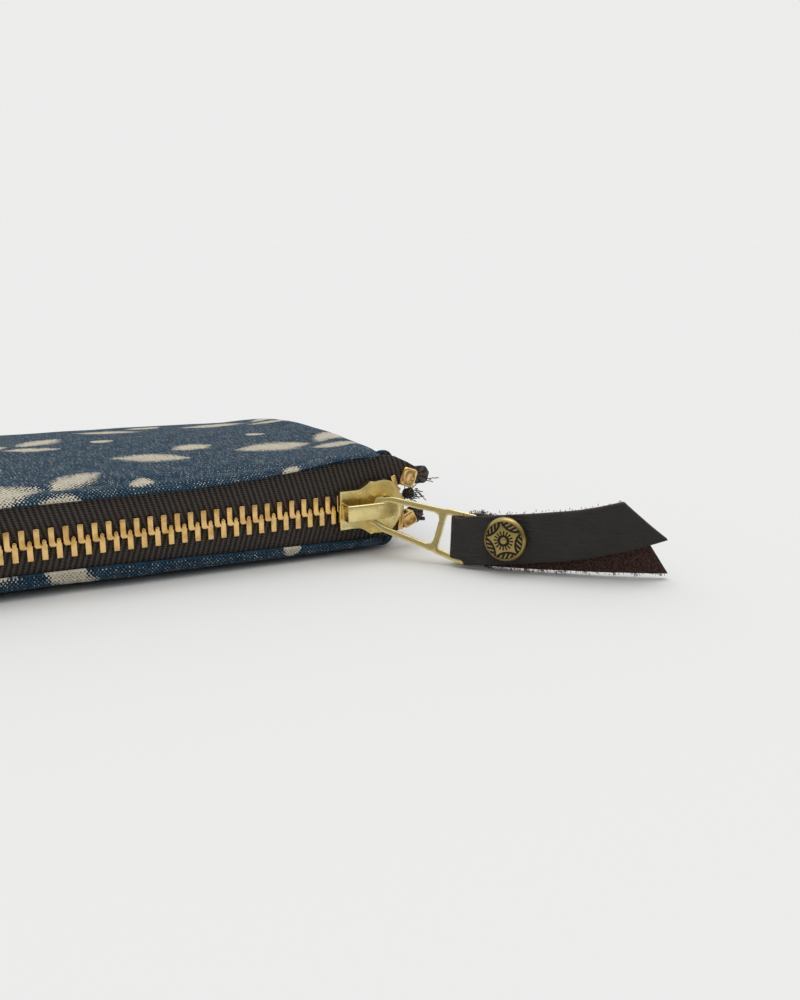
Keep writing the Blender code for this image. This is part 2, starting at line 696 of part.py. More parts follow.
def rivet_cap(made):
    """The domed front cap with its hollow stem through both layers."""
    seat = STRAP_THICK / 2 + GAP
    radius, stem, pin = RIVET_DIAMETER / 2, RIVET_STEM / 2, RIVET_PIN / 2
    deep = STRAP_THICK / 2 + GAP + STRAP_THICK
    profile = [(0.0, seat + RIVET_DOME)]
    profile += [
        (radius * sin(a), seat + RIVET_DOME * (0.35 + 0.65 * cos(a))) for a in (0.45, 0.85, 1.2, pi / 2)
    ]
    profile += [(radius * 0.93, seat), (stem, seat), (stem, -deep), (pin + GAP, -deep), (pin + GAP, 0.0), (0.0, 0.0)]
    cap = add_object("rivet_cap", turned(profile), made, rivet_matrix())
    cap.data.shade_smooth()
    cap.data.set_sharp_from_angle(angle=radians(40))
    return cap


def rivet_post(made):
    """The back disc, whose pin stands in the cap's stem."""
    pin, radius = RIVET_PIN / 2, RIVET_BACK_DIAMETER / 2
    deep = STRAP_THICK / 2 + GAP + STRAP_THICK
    seat = -deep - 2 * GAP
    profile = [(0.0, -GAP), (pin, -GAP), (pin, seat), (radius, seat), (radius, seat - 0.0004)]
    profile += [(radius * 0.6, seat - 0.0008), (0.0, seat - 0.0009)]
    post = add_object("rivet_post", turned(profile), made, rivet_matrix())
    post.data.shade_smooth()
    post.data.set_sharp_from_angle(angle=radians(40))
    return post


def main():
    """Build the wallet."""
    clear_scene()
    indigo = material("indigo_cotton", (0.012, 0.042, 0.10), 0.9)
    lining = material("lining_cotton", (0.30, 0.27, 0.22), 0.9)
    tape_cloth = material("zip_tape", (0.048, 0.034, 0.027), 0.85)
    brass = material("brass", (0.75, 0.43, 0.11), 0.3, 1.0)
    satin = material("satin_gold", (0.70, 0.55, 0.20), 0.35, 1.0)
    leather = material("leather", (0.030, 0.026, 0.023), 0.7)
    antique = material("antique_brass", (0.31, 0.21, 0.05), 0.4, 1.0)

    cloth_half("outer_top_panel", upper_section, 32, 20, 0.0, CLOTH_THICK, indigo)
    cloth_half("outer_bottom_panel", lower_section, 30, 18, 0.0, CLOTH_THICK, indigo)
    inset = CLOTH_THICK + LINING_GAP
    cloth_half("lining_top", upper_section, 24, 14, inset, LINING_THICK, lining)
    cloth_half("lining_bottom", lower_section, 24, 12, inset, LINING_THICK, lining)

    upper_stop_x, lower_stop_x = TOP_STOP_X, TOP_STOP_X + LOWER_STOP_SHIFT
    tape("upper_tape", 1, upper_seam, UPPER_END_SLOPE, upper_stop_x, tape_cloth)
    tape("lower_tape", -1, lower_seam, LOWER_END_SLOPE, lower_stop_x, tape_cloth)
    teeth_row("upper_teeth", 1, UPPER_END_SLOPE, brass)
    teeth_row("lower_teeth", -1, LOWER_END_SLOPE, brass)
    top_stop("upper_top_stop", 1, UPPER_END_SLOPE, upper_stop_x, brass)
    top_stop("lower_top_stop", -1, LOWER_END_SLOPE, lower_stop_x, brass)
    bottom_stop(brass)

    slider_body(satin)
    slider_bridge(satin)
    pull(satin)
    leather_tab(leather)
    rivet_cap(antique)
    rivet_post(antique)


main()
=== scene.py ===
"""Looks of a slim padded cloth wallet with a brass zip and a riveted leather tab on its pull.

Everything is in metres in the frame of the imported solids: +X along the zip towards its closed end, the zip
faces -Y, and Z is up from the flat underside.
"""

import logging
import random
from dataclasses import dataclass, field
from enum import Enum
from math import atan2, cos, exp, floor, pi, radians, sin, sqrt
from typing import Sequence

import bmesh
import bpy
from mathutils import Matrix, Vector, noise
from mathutils.geometry import interpolate_bezier

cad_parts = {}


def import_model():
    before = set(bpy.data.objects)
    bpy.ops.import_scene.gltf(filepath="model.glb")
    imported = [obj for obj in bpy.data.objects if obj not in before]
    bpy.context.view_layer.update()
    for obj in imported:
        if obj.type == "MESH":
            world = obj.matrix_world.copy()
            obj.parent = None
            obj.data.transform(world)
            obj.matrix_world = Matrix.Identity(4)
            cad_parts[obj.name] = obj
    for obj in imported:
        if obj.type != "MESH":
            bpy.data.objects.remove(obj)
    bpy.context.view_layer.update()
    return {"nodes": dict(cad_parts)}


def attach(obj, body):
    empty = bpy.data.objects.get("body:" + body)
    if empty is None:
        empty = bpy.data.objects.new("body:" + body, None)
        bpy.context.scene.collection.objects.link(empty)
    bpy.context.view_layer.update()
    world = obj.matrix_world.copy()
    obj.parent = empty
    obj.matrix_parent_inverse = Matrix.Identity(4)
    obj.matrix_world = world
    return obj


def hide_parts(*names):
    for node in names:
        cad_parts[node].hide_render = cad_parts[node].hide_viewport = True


MM = 0.001

# The wallet's body, as in the solids but for a lower crest and deeper plan corners
HALF_WIDTH = 75 * MM
FRONT_Y = -50 * MM
BACK_Y = 50 * MM
CREST_HEIGHT = 19.4 * MM
CREST_FROM_FRONT = 28 * MM
CREST_RISE_LEFT = 0.7 * MM
CREST_DROP_RIGHT = 1.0 * MM
SIDE_SEAM = 8.5 * MM
SEAM_GAP = 0.15 * MM
PLAN_CORNER = 10.5 * MM
PLAN_CORNER_DEEP = 20 * MM
SIDE_ROLL = 9 * MM

# The zip, as in the solids
ZIP_HEIGHT = 9.6 * MM
TOOTH_PITCH = 2.5 * MM
SLIDER_X = 62.05 * MM
SLIDER_LENGTH = 14 * MM
TOP_STOP_X = 70.9 * MM
BOTTOM_STOP_X = -61.5 * MM
ROW_SPREAD = 2.4 * MM

# How steeply each row of teeth runs on past the slider
ROW_SLOPE_UPPER = 0.28
ROW_SLOPE_LOWER = 0.12

# How far the cloth's front edges are from the chain's middle, in millimetres
UPPER_SEAM = 7.3
UPPER_SEAM_RISE = 2.8
UPPER_RISE_START = 28
UPPER_RISE_LENGTH = 38
LOWER_SEAM = 5.4
LOWER_SEAM_RISE = 1.4
LOWER_SEAM_CLEAR = 0.9

# The pull's hinge, its swing at rest and the tab's hinge
PULL_PIVOT = Vector((62.05, -53.55, 9.3)) * MM
PULL_SWING = radians(45)
PULL_DROOP = radians(17.5)
PULL_REACH = 19.8 * MM

# The stage: the backdrop, the sky's brightest direction and shades, the sun, the floor and the camera
BACKDROP = (0.84, 0.845, 0.835)
SKY_BRIGHTEST = (0.15, 0.55, 0.82)
SKY_SHADES = (0.20, 0.85)
MIRROR_SHADES = (0.12, 1.0)
SUN_STRENGTH = 0.905
SUN_SPREAD = radians(44)
SUN_FROM = (0.14, 0.14, 0.98)
FLOOR_HALF = 40.0
CAMERA_PLACE = (-28.4, -244.7, 61.7)
CAMERA_DOWN = 13.39
CAMERA_RIGHT = 26.67
FOCAL_LENGTH = 39.6

LOG = logging.getLogger("wallet")

Socket = bpy.types.NodeSocket
Root = tuple[Vector, Vector]


class Side(Enum):
    """Which half of the wallet, or row of the zip, a piece belongs to."""

    UPPER = 1
    LOWER = -1


def smoothstep(value: float) -> float:
    """Ease a number that runs from 0 to 1, and hold it past them."""
    value = min(max(value, 0.0), 1.0)
    return value * value * (3 - 2 * value)


def seam_height(side: Side, x: float) -> float:
    """How far the cloth's front edge is from the chain's middle at x.

    Args:
        side: the upper or lower half.
        x: place along the zip.

    Returns:
        A length in metres, always positive.
    """
    if side is Side.UPPER:
        past = min(max((x / MM - UPPER_RISE_START) / UPPER_RISE_LENGTH, 0.0), 1.0)
        return (UPPER_SEAM + UPPER_SEAM_RISE * past**1.8) * MM
    share = smoothstep((x + 12 * MM) / (HALF_WIDTH + 12 * MM))
    clear = smoothstep((-6 * MM - x) / (30 * MM))
    return (LOWER_SEAM + LOWER_SEAM_RISE * share + LOWER_SEAM_CLEAR * clear) * MM


def row_spread(side: Side, x: float) -> float:
    """How far a row of teeth has left the chain's middle at x.

    Args:
        side: the upper or lower row.
        x: place along the zip.

    Returns:
        A length in metres: nothing behind the slider, full in its mouth and beyond.
    """
    start, end = SLIDER_X - 0.23 * SLIDER_LENGTH, SLIDER_X + 0.29 * SLIDER_LENGTH
    slope = ROW_SLOPE_UPPER if side is Side.UPPER else ROW_SLOPE_LOWER
    return ROW_SPREAD * smoothstep((x - start) / (end - start)) + slope * max(0.0, x - end)


def pull_matrix() -> Matrix:
    """The pull's axes at rest.

    Returns:
        A matrix with X along the pull, Y through it away from the zip and Z up its bar.
    """
    swing, droop = PULL_SWING, PULL_DROOP
    length = Vector((cos(swing) * cos(droop), -sin(swing), -cos(swing) * sin(droop)))
    bar = Vector((sin(droop), 0.0, cos(droop)))
    turn = Matrix((length, bar.cross(length), bar)).transposed().to_4x4()
    return Matrix.Translation(PULL_PIVOT) @ turn


# Finishes


def add_node(tree: bpy.types.NodeTree, kind: str, inputs: dict, **settings: object) -> bpy.types.Node:
    """Add one node to a tree.

    Args:
        tree: the tree of a material or of the world.
        kind: the node's type without its ShaderNode prefix.
        inputs: socket name or number to a value, or to another node's output socket.
        settings: properties of the node itself.

    Returns:
        The new node.
    """
    made = tree.nodes.new("ShaderNode" + kind)
    for key, value in settings.items():
        setattr(made, key, value)
    for key, value in inputs.items():
        if isinstance(value, bpy.types.NodeSocket):
            tree.links.new(value, made.inputs[key])
        else:
            made.inputs[key].default_value = value
    return made


class Tree:
    """A material's node tree, with a short way to add nodes."""

    def __init__(self, name: str) -> None:
        """Make an empty material of that name."""
        self.material = bpy.data.materials.new(name)
        self.material.use_nodes = True
        self.nodes = self.material.node_tree
        self.links = self.nodes.links
        self.shader = self.nodes.nodes["Principled BSDF"]

    def add(self, kind: str, inputs: dict | None = None, **settings: object) -> bpy.types.Node:
        """Add one node, as add_node does."""
        return add_node(self.nodes, kind, inputs or {}, **settings)

    def math(self, operation: str, *values: object) -> Socket:
        """One Math node's output, from numbers or sockets."""
        return self.add("Math", dict(enumerate(values)), operation=operation).outputs[0]

    def ramp(self, value: object, low: float, high: float, start: float = 0.0, end: float = 1.0) -> Socket:
        """A clamped smooth map of a socket from low..high to start..end."""
        sockets = {"Value": value, "From Min": low, "From Max": high, "To Min": start, "To Max": end}
        return self.add("MapRange", sockets, interpolation_type="SMOOTHSTEP").outputs[0]

    def mix(self, share: object, first: object, second: object) -> Socket:
        """A colour between two.

        Args:
            share: how much of the second colour, as a number or a socket.
            first: the first colour.
            second: the second colour.

        Returns:
            The mixed colour's socket.
        """
        node = self.add("Mix", data_type="RGBA")
        for place, value in ((0, share), (6, first), (7, second)):
            if isinstance(value, bpy.types.NodeSocket):
                self.links.new(value, node.inputs[place])
            else:
                node.inputs[place].default_value = (*value, 1.0) if isinstance(value, tuple) else value
        return node.outputs[2]

    def noise(self, vector: object, scale: float, detail: float = 2.0, rough: float = 0.5) -> Socket:
        """A noise pattern's factor."""
        sockets = {"Vector": vector, "Scale": scale, "Detail": detail, "Roughness": rough}
        return self.add("TexNoise", sockets).outputs[0]

    def place(self) -> Socket:
        """The piece's own coordinates, in metres."""
        return self.add("TexCoord").outputs["Object"]

    def attribute(self, name: str, output: str = "Vector") -> Socket:
        """A value that the mesh carries."""
        return self.add("Attribute", attribute_name=name).outputs[output]

    def bump(self, height: object, distance: float, strength: float = 1.0, under: object = None) -> Socket:
        """Give the shader a bump from a height.

        Args:
            height: the height's socket.
            distance: the bump's depth in metres.
            strength: its share from 0 to 1.
            under: another bump that it lies on.

        Returns:
            The bump's socket.
        """
        sockets = {"Height": height, "Distance": distance, "Strength": strength}
        if under is not None:
            sockets["Normal"] = under
        made = self.add("Bump", sockets).outputs[0]
        self.links.new(made, self.shader.inputs["Normal"])
        return made

    def set(self, **values: object) -> None:
        """Set or link the shader's own sockets.

        Args:
            values: a number, colour or socket for each name, with underscores for spaces.
        """
        for key, value in values.items():
            socket = self.shader.inputs[key.replace("_", " ")]
            if isinstance(value, bpy.types.NodeSocket):
                self.links.new(value, socket)
            else:
                socket.default_value = (*value, 1.0) if isinstance(value, tuple) else value


@dataclass(frozen=True)
class MetalFinish:
    """A plated or plain metal, with fine grain and duller patches."""

    name: str
    colour: tuple[float, float, float]
    worn: tuple[float, float, float]
    roughness: float
    grain: float

    def build(self) -> bpy.types.Material:
        """Make the material.

        Returns:
            The material.
        """
        tree = Tree(self.name)
        place = tree.place()
        patches = tree.noise(place, 450, 3)
        fine = tree.noise(place, 5200, 2)
        tree.set(Base_Color=tree.mix(tree.ramp(patches, 0.42, 0.7), self.colour, self.worn), Metallic=1.0)
        tree.set(Roughness=tree.ramp(patches, 0.3, 0.75, self.roughness, self.roughness + 0.12))
        tree.bump(fine, self.grain)
        return tree.material


@dataclass(frozen=True)
class ReliefFinish:
    """Antique metal: dark in the recesses and rubbed bright on what stands out."""

    name: str
    raised: tuple[float, float, float]
    recess: tuple[float, float, float]

    def build(self) -> bpy.types.Material:
        """Make the material from the mesh's own relief attribute.

        Returns:
            The material.
        """
        tree = Tree(self.name)
        relief = tree.attribute("relief", "Fac")
        patches = tree.noise(tree.place(), 900, 3)
        level = tree.math("ADD", relief, tree.math("MULTIPLY", patches, 0.25))
        tree.set(Base_Color=tree.mix(tree.ramp(level, 0.35, 0.95), self.recess, self.raised))
        tree.set(Metallic=tree.ramp(level, 0.2, 0.7, 0.55, 1.0))
        tree.set(Roughness=tree.ramp(level, 0.3, 0.9, 0.6, 0.3))
        tree.bump(tree.noise(tree.place(), 4200, 2), 0.00002)
        return tree.material


@dataclass(frozen=True)
class Leaf:
    """One leaf of the print, in millimetres on the flat cloth."""

    x: float
    y: float
    angle: float
    length: float
    width: float


# One repeat of the print, in millimetres on the flat cloth
REPEAT_WIDTH = 62.0
REPEAT_HEIGHT = 42.0
REPEAT_SHIFT = (20.0, 5.0)
PRINT_LEAVES = (
    Leaf(11, 9, 10, 21, 11.0),
    Leaf(27, 14, 36, 15, 9.0),
    Leaf(24, 4, -12, 13, 6.5),
    Leaf(45, 27, -16, 18, 9.0),
    Leaf(56, 35, 20, 12, 8.0),
)
PRINT_DOTS = (
    Leaf(40, 9, 0, 6.0, 5.2),
    Leaf(13, 26, 10, 5.0, 4.4),
)


@dataclass(frozen=True)
class PrintedCotton:
    """Indigo cotton in plain weave with a cream print of leaves and dots."""

    name: str
    leaves: tuple[Leaf, ...]
    dots: tuple[Leaf, ...]
    ground: tuple[float, float, float] = (0.003, 0.018, 0.042)
    pale_yarn: tuple[float, float, float] = (0.042, 0.118, 0.190)
    cream: tuple[float, float, float] = (0.84, 0.77, 0.61)
    speck: tuple[float, float, float] = (0.25, 0.12, 0.07)
    yarn: float = 0.42

    def build(self) -> bpy.types.Material:
        """Make the material, which reads where each point lies on the flat cloth, in millimetres.

        Returns:
            The material.
        """
        tree = Tree(self.name)
        flat = tree.attribute("cloth")
        wander = tree.add("TexNoise", {"Vector": flat, "Scale": 0.38, "Detail": 3.0}).outputs["Color"]
        shaken = tree.add("VectorMath", {0: wander, 1: (0.5, 0.5, 0.5)}, operation="SUBTRACT").outputs[0]
        shaken = tree.add("VectorMath", {0: shaken, "Scale": 2.4}, operation="SCALE").outputs[0]
        printed = tree.add("VectorMath", {0: flat, 1: shaken}, operation="ADD").outputs[0]
        tile = self.repeat(tree, printed)
        mask: object = 0.0
        for leaf in self.leaves:
            mask = tree.math("MAXIMUM", mask, self.leaf_mask(tree, tile, leaf, False))
        for dot in self.dots:
            mask = tree.math("MAXIMUM", mask, self.leaf_mask(tree, tile, dot, True))
        yarns = tree.add("SeparateXYZ", {0: flat}).outputs
        warp = tree.math("SINE", tree.math("MULTIPLY", yarns[0], pi / self.yarn))
        weft = tree.math("SINE", tree.math("MULTIPLY", yarns[1], pi / self.yarn))
        weave = tree.math("MULTIPLY", warp, weft)
        long_x = tree.add("Mapping", {"Vector": flat, "Scale": (0.25, 3.2, 1.0)}).outputs[0]
        long_y = tree.add("Mapping", {"Vector": flat, "Scale": (3.2, 0.25, 1.0)}).outputs[0]
        slub = tree.math("ADD", tree.noise(long_x, 1.0, 2), tree.noise(long_y, 1.0, 2))
        grains = tree.noise(flat, 1.9, 2, 0.6)
        mottle = tree.math("ADD", tree.math("MULTIPLY", slub, 0.7), tree.math("MULTIPLY", grains, 0.9))
        tone = tree.math("ADD", mottle, tree.math("MULTIPLY", weave, 0.34))
        worn = tree.math("ADD", tone, tree.math("MULTIPLY", tree.noise(flat, 0.3, 4, 0.7), 0.9))
        ground = tree.mix(tree.ramp(worn, 1.2, 2.2), self.ground, self.pale_yarn)
        ragged = tree.math("ADD", mask, tree.math("MULTIPLY", tree.math("SUBTRACT", tone, 1.15), 0.85))
        cream = tree.ramp(ragged, 0.22, 0.40)
        dull = tree.mix(tree.ramp(tone, 0.7, 1.5), tuple(0.50 * c for c in self.cream), self.cream)
        fleck = tree.ramp(tree.noise(long_x, 2.4, 1), 0.74, 0.79)
        dyed = tree.mix(cream, ground, dull)
        colour = tree.mix(tree.math("MULTIPLY", fleck, 0.5), dyed, self.speck)
        tree.set(Base_Color=colour, Roughness=0.92, Sheen_Weight=0.05, Sheen_Roughness=0.5)
        tree.set(Specular_IOR_Level=0.2)
        lumps = tree.bump(tree.noise(flat, 0.35, 3), 0.0006, 0.5)
        tree.bump(tree.math("ADD", weave, tree.math("MULTIPLY", mottle, 1.6)), 0.00016, 1.0, lumps)
        return tree.material

    def repeat(self, tree: Tree, flat: object) -> object:
        """Wrap a point of the flat cloth into the print's half-drop repeat.

        Args:
            tree: the material's tree.
            flat: the point on the flat cloth, in millimetres.

        Returns:
            The point's socket inside one repeat.
        """
        parts = tree.add("SeparateXYZ", {0: flat}).outputs
        moved = tree.math("ADD", parts[0], REPEAT_SHIFT[0])
        column = tree.math("FLOOR", tree.math("DIVIDE", moved, REPEAT_WIDTH))
        drop = tree.math("MULTIPLY", column, REPEAT_HEIGHT / 2)
        lifted = tree.math("ADD", tree.math("ADD", parts[1], drop), REPEAT_SHIFT[1])
        inside = tree.math("FLOORED_MODULO", moved, REPEAT_WIDTH)
        level = tree.math("FLOORED_MODULO", lifted, REPEAT_HEIGHT)
        return tree.add("CombineXYZ", {0: inside, 1: level}).outputs[0]

    def leaf_mask(self, tree: Tree, flat: object, leaf: Leaf, rounded: bool) -> object:
        """How far inside one pointed leaf a point is.

        Args:
            tree: the material's tree.
            flat: the point on the flat cloth, in millimetres.
            leaf: the leaf to test.
            rounded: whether it is an oval dot.

        Returns:
            A socket that is above 0 inside and 1 at its middle.
        """
        turned = tree.add(
            "Mapping",
            {
                "Vector": flat,
                "Location": (leaf.x, leaf.y, 0.0),
                "Rotation": (0.0, 0.0, radians(leaf.angle)),
                "Scale": (leaf.length / 2, leaf.width / 2, 1.0),
            },
            vector_type="TEXTURE",
        ).outputs[0]
        parts = tree.add("SeparateXYZ", {0: turned}).outputs
        along = tree.math("MULTIPLY", parts[0], parts[0])
        across = tree.math("MULTIPLY", parts[1], parts[1]) if rounded else tree.math("ABSOLUTE", parts[1])
        return tree.math("SUBTRACT", tree.math("SUBTRACT", 1.0, along), across)


@dataclass(frozen=True)
class RibbedTape:
    """Dark brown woven zip tape with fine crosswise ribs, whose raised tops are painted lighter as a painted
    highlight.
    """

    name: str
    colour: tuple[float, float, float] = (0.016, 0.012, 0.010)
    # The ribs' lighter colour: partly the weave's own pattern, partly a painted highlight on the raised ribs
    rib: tuple[float, float, float] = (0.105, 0.084, 0.071)

    def build(self) -> bpy.types.Material:
        """Make the material.

        Returns:
            The material.
        """
        tree = Tree(self.name)
        place = tree.place()
        parts = tree.add("SeparateXYZ", {0: tree.attribute("ribs")}).outputs
        wobble = tree.math("MULTIPLY", tree.noise(place, 900, 2), 0.25)
        ribs = tree.math("SINE", tree.math("ADD", parts[0], wobble))
        threads = tree.math("SINE", tree.math("ADD", parts[1], wobble))
        weave = tree.math("ADD", tree.math("MULTIPLY", ribs, 0.75), tree.math("MULTIPLY", threads, 0.45))
        tone = tree.math("ADD", weave, tree.math("MULTIPLY", tree.noise(place, 3500, 2), 0.9))
        # Colour follows the same tone as the bump, so the raised ribs get a painted highlight over the
        # weave's pattern and random tone
        tree.set(Base_Color=tree.mix(tree.ramp(tone, -0.3, 1.3), self.colour, self.rib))
        tree.set(Roughness=0.8, Sheen_Weight=0.1, Specular_IOR_Level=0.3)
        tree.bump(tone, 0.00016, 1.0)
        return tree.material


@dataclass(frozen=True)
class LeatherGrain:
    """The smooth outer side of dark leather."""

    name: str
    colour: tuple[float, float, float] = (0.021, 0.018, 0.016)
    high: tuple[float, float, float] = (0.036, 0.031, 0.027)

    def build(self) -> bpy.types.Material:
        """Make the material.

        Returns:
            The material.
        """
        tree = Tree(self.name)
        place = tree.place()
        pebbles = tree.add("TexVoronoi", {"Vector": place, "Scale": 1500}, feature="SMOOTH_F1")
        cloudy = tree.noise(place, 260, 4, 0.6)
        tree.set(Base_Color=tree.mix(tree.ramp(cloudy, 0.35, 0.75), self.colour, self.high))
        tree.set(Roughness=tree.ramp(cloudy, 0.3, 0.7, 0.50, 0.68), Specular_IOR_Level=0.4)
        lengthwise = tree.add("Mapping", {"Vector": place, "Scale": (0.3, 0.3, 2.0)}).outputs[0]
        soft = tree.bump(tree.noise(lengthwise, 850, 4, 0.6), 0.0009, 1.0)
        tree.bump(pebbles.outputs["Distance"], 0.00014, 0.7, soft)
        return tree.material


@dataclass(frozen=True)
class LeatherFlesh:
    """The rough brown inner side and cut edges of leather."""

    name: str
    colour: tuple[float, float, float] = (0.020, 0.008, 0.006)
    nap: tuple[float, float, float] = (0.120, 0.060, 0.045)

    def build(self) -> bpy.types.Material:
        """Make the material.

        Returns:
            The material.
        """
        tree = Tree(self.name)
        place = tree.place()
        nap = tree.noise(place, 2600, 4, 0.7)
        tree.set(Base_Color=tree.mix(tree.ramp(nap, 0.35, 0.75), self.colour, self.nap))
        tree.set(Roughness=0.98, Sheen_Weight=0.12, Sheen_Roughness=0.6, Specular_IOR_Level=0.1)
        tree.bump(nap, 0.0003, 1.0)
        return tree.material


@dataclass(frozen=True)
class PlainCotton:
    """A plain woven lining."""

    name: str
    colour: tuple[float, float, float] = (0.36, 0.32, 0.25)
    yarn: float = 0.00045

    def build(self) -> bpy.types.Material:
        """Make the material.

        Returns:
            The material.
        """
        tree = Tree(self.name)
        parts = tree.add("SeparateXYZ", {0: tree.place()}).outputs
        warp = tree.math("SINE", tree.math("MULTIPLY", parts[0], 2 * pi / self.yarn))
        weft = tree.math("SINE", tree.math("MULTIPLY", parts[1], 2 * pi / self.yarn))
        weave = tree.math("MULTIPLY", warp, weft)
        dark = tuple(0.7 * c for c in self.colour)
        tree.set(Base_Color=tree.mix(tree.ramp(weave, -1.0, 1.0), dark, self.colour), Roughness=0.95)
        tree.bump(weave, 0.0001, 0.6)
        return tree.material


@dataclass
class Finishes:
    """Every material, made once."""

    cotton: bpy.types.Material = field(init=False)
    lining: bpy.types.Material = field(init=False)
    tape: bpy.types.Material = field(init=False)
    brass: bpy.types.Material = field(init=False)
    gold: bpy.types.Material = field(init=False)
    grain: bpy.types.Material = field(init=False)
    flesh: bpy.types.Material = field(init=False)
    antique: bpy.types.Material = field(init=False)
    thread: bpy.types.Material = field(init=False)

    def __post_init__(self) -> None:
        """Make the materials."""
        self.cotton = PrintedCotton("indigo_cotton_print", PRINT_LEAVES, PRINT_DOTS).build()
        self.lining = PlainCotton("lining_cotton_weave").build()
        self.tape = RibbedTape("zip_tape_weave").build()
        self.brass = MetalFinish(
            "tooth_brass", colour=(0.86, 0.58, 0.23), worn=(0.66, 0.40, 0.13), roughness=0.22, grain=0.000008
        ).build()
        self.gold = MetalFinish(
            "satin_gold", colour=(0.84, 0.70, 0.32), worn=(0.76, 0.60, 0.25), roughness=0.23, grain=0.000005
        ).build()
        self.grain = LeatherGrain("leather_grain").build()
        self.flesh = LeatherFlesh("leather_flesh").build()
        self.thread = LeatherFlesh(
            "frayed_thread", colour=(0.012, 0.010, 0.010), nap=(0.050, 0.042, 0.038)
        ).build()
        self.antique = ReliefFinish(
            "antique_brass_relief", raised=(0.37, 0.275, 0.10), recess=(0.024, 0.019, 0.013)
        ).build()


# Pieces


def piece(
    name: str,
    bm: bmesh.types.BMesh,
    finishes: Sequence[bpy.types.Material],
    body: str,
    smooth_angle: float | None = 40.0,
) -> bpy.types.Object:
    """Turn a finished bmesh into an object that rides on a body.

    Args:
        name: the piece's name.
        bm: its mesh, in place in the wallet's frame.
        finishes: its materials, in slot order.
        body: the body that it moves with.
        smooth_angle: edges sharper than this stay sharp, or None for a fully smooth piece.

    Returns:
        The new object.
    """
    mesh = bpy.data.meshes.new(name)
    bm.to_mesh(mesh)
    bm.free()
    mesh.shade_smooth()
    if smooth_angle is not None:
        mesh.set_sharp_from_angle(angle=radians(smooth_angle))
    for finish in finishes:
        mesh.materials.append(finish)
    made = bpy.data.objects.new(name, mesh)
    bpy.context.scene.collection.objects.link(made)
    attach(made, body)
    LOG.info("%s: %d faces", name, len(mesh.polygons))
    return made


def merge(target: bmesh.types.BMesh, part: bmesh.types.BMesh, matrix: Matrix | None = None) -> None:
    """Add a copy of one bmesh to another.

    Args:
        target: the mesh that grows.
        part: the mesh to copy, which is kept.
        matrix: where the copy goes.
    """
    held = bpy.data.meshes.new("held")
    part.to_mesh(held)
    if matrix is not None:
        held.transform(matrix)
    target.from_mesh(held)
    bpy.data.meshes.remove(held)


def slab(outline: Sequence[tuple[float, float]], low: float, high: float) -> bmesh.types.BMesh:
    """Pull a flat outline through along Y.

    Args:
        outline: its corners in X and Z.
        low: where it starts.
        high: where it ends.

    Returns:
        The closed slab.
    """
    bm = bmesh.new()
    face = bm.faces.new([bm.verts.new((x, low, z)) for x, z in outline])
    pulled = bmesh.ops.extrude_face_region(bm, geom=[face])
    moved = [v for v in pulled["geom"] if isinstance(v, bmesh.types.BMVert)]
    bmesh.ops.translate(bm, verts=moved, vec=(0, high - low, 0))
    bmesh.ops.recalc_face_normals(bm, faces=bm.faces[:])
    return bm


def round_off(bm: bmesh.types.BMesh, width: float, segments: int = 3, angle: float = 25.0) -> None:
    """Round every edge that is sharper than an angle.

    Args:
        bm: the mesh to change.
        width: how far the rounding reaches from each edge.
        segments: steps across it.
        angle: the least angle in degrees between two faces that counts as an edge.
    """
    edges = [e for e in bm.edges if e.is_manifold and e.calc_face_angle(0.0) > radians(angle)]
    bmesh.ops.bevel(
        bm,
        geom=edges,
        offset=width,
        segments=segments,
        profile=0.5,
        affect="EDGES",
        material=-1,
        clamp_overlap=True,
    )


def on_rounded_block(point: Vector, power: float) -> Vector:
    """Pull a point of a cube onto a block whose corners are rounder the lower the power is."""
    total = abs(point.x) ** power + abs(point.y) ** power + abs(point.z) ** power
    return point / total ** (1 / power)


